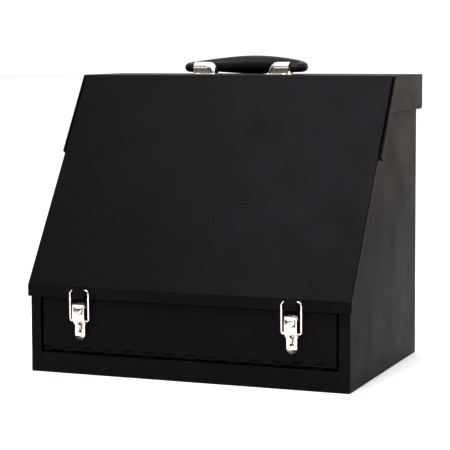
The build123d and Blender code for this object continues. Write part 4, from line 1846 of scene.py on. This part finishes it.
@dataclass(frozen=True)
class PhotoCamera:
    """The photographer's camera, worked out from the box's edges in the photo."""

    place: Point3 = (1.0486, -2.6731, 0.5431)
    azimuth: float = 21.35
    pitch: float = 4.61
    roll: float = 0.22
    focal_pixels: float = 1694.0
    centre_pixels: Point = (230.0, 180.0)
    image_pixels: float = 450.0
    sensor: float = 36.0
    sight: float = 50.0

    def build(self) -> None:
        """Put the camera into the scene."""
        data = bpy.data.cameras.new("photo_camera")
        data.sensor_width = self.sensor
        data.lens = self.focal_pixels / self.image_pixels * self.sensor
        data.shift_x = (self.image_pixels / 2 - self.centre_pixels[0]) / self.image_pixels
        data.shift_y = (self.centre_pixels[1] - self.image_pixels / 2) / self.image_pixels
        data.clip_end = self.sight
        camera = add_object("photo_camera", data)
        turn, dip = math.radians(self.azimuth), math.radians(self.pitch)
        flat = Vector((-math.sin(turn), math.cos(turn), 0.0))
        ahead = flat * math.cos(dip) - Vector((0.0, 0.0, math.sin(dip)))
        level = Vector((math.cos(turn), math.sin(turn), 0.0))
        right = Matrix.Rotation(math.radians(self.roll), 3, ahead) @ level
        up = right.cross(ahead)
        frame = Matrix((right, up, -ahead)).transposed().to_4x4()
        camera.matrix_world = Matrix.Translation(Vector(self.place)) @ frame
        bpy.context.scene.camera = camera


@dataclass(frozen=True)
class Studio:
    """Floor, lights, surroundings and camera."""

    front_glow: float = 0.06
    back_glow: float = 1.2
    back_range: Point = (-0.1, 0.8)
    roof_glow: float = 1.2
    roof_range: Point = (0.3, 0.9)
    floor_reach: float = 24.0
    floor_grey: float = 0.9
    floor_roughness: float = 0.9

    def build(self) -> None:
        """Build the whole set."""
        self.build_floor()
        self.build_world()
        for softbox in SOFTBOXES:
            softbox.build()
        PhotoCamera().build()
        bpy.context.scene.view_settings.view_transform = "Standard"

    def build_floor(self) -> None:
        """Wide pale floor."""
        mesh = bpy.data.meshes.new("floor")
        turns = ((-1, -1), (1, -1), (1, 1), (-1, 1))
        corners = [(x * self.floor_reach, y * self.floor_reach, 0) for x, y in turns]
        mesh.from_pydata(corners, [], [(0, 1, 2, 3)])
        material = bpy.data.materials.new("pale_floor")
        material.use_nodes = True
        graph = Graph(material.node_tree)
        values = {"Base Color": (*[self.floor_grey] * 3, 1.0), "Roughness": self.floor_roughness}
        graph.add(
            "ShaderNodeOutputMaterial", {"Surface": graph.make("ShaderNodeBsdfPrincipled", values)}
        )
        mesh.materials.append(material)
        add_object("floor", mesh)

    def build_world(self) -> None:
        """White surroundings behind the box and overhead, and a dark room in front."""
        world = bpy.data.worlds.new("studio")
        bpy.context.scene.world = world
        world.use_nodes = True
        graph = Graph(world.node_tree)
        facing = graph.add("ShaderNodeTexCoord").outputs["Generated"]
        parts = graph.add("ShaderNodeSeparateXYZ", {0: facing}).outputs
        glows = (self.front_glow, self.back_glow)
        wall = graph.remap(parts["Y"], self.back_range, glows, "SMOOTHSTEP")
        roof = graph.remap(parts["Z"], self.roof_range, (0.0, self.roof_glow), "SMOOTHSTEP")
        glow = graph.math("MAXIMUM", wall, roof)
        sky = graph.make("ShaderNodeBackground", {"Color": (1.0, 1.0, 1.0, 1.0), "Strength": glow})
        graph.add("ShaderNodeOutputWorld", {"Surface": sky})


def main() -> None:
    """Build the tool box and its studio."""
    logging.basicConfig(level=logging.INFO, format="%(message)s")
    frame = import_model()
    shop = Workshop(frame)
    shop.dress_nodes()
    lid = Lid(shop)
    lid.build()
    Case(shop).build(lid)
    RearHinge(shop, REAR_HINGE).build()
    DropFront(shop, FRONT_HINGE).build()
    Handle(shop).build()
    for side in Side:
        Latch(shop, side).build()
    build_latch_rivets(shop)
    Studio().build()


if __name__ == "__main__":
    main()
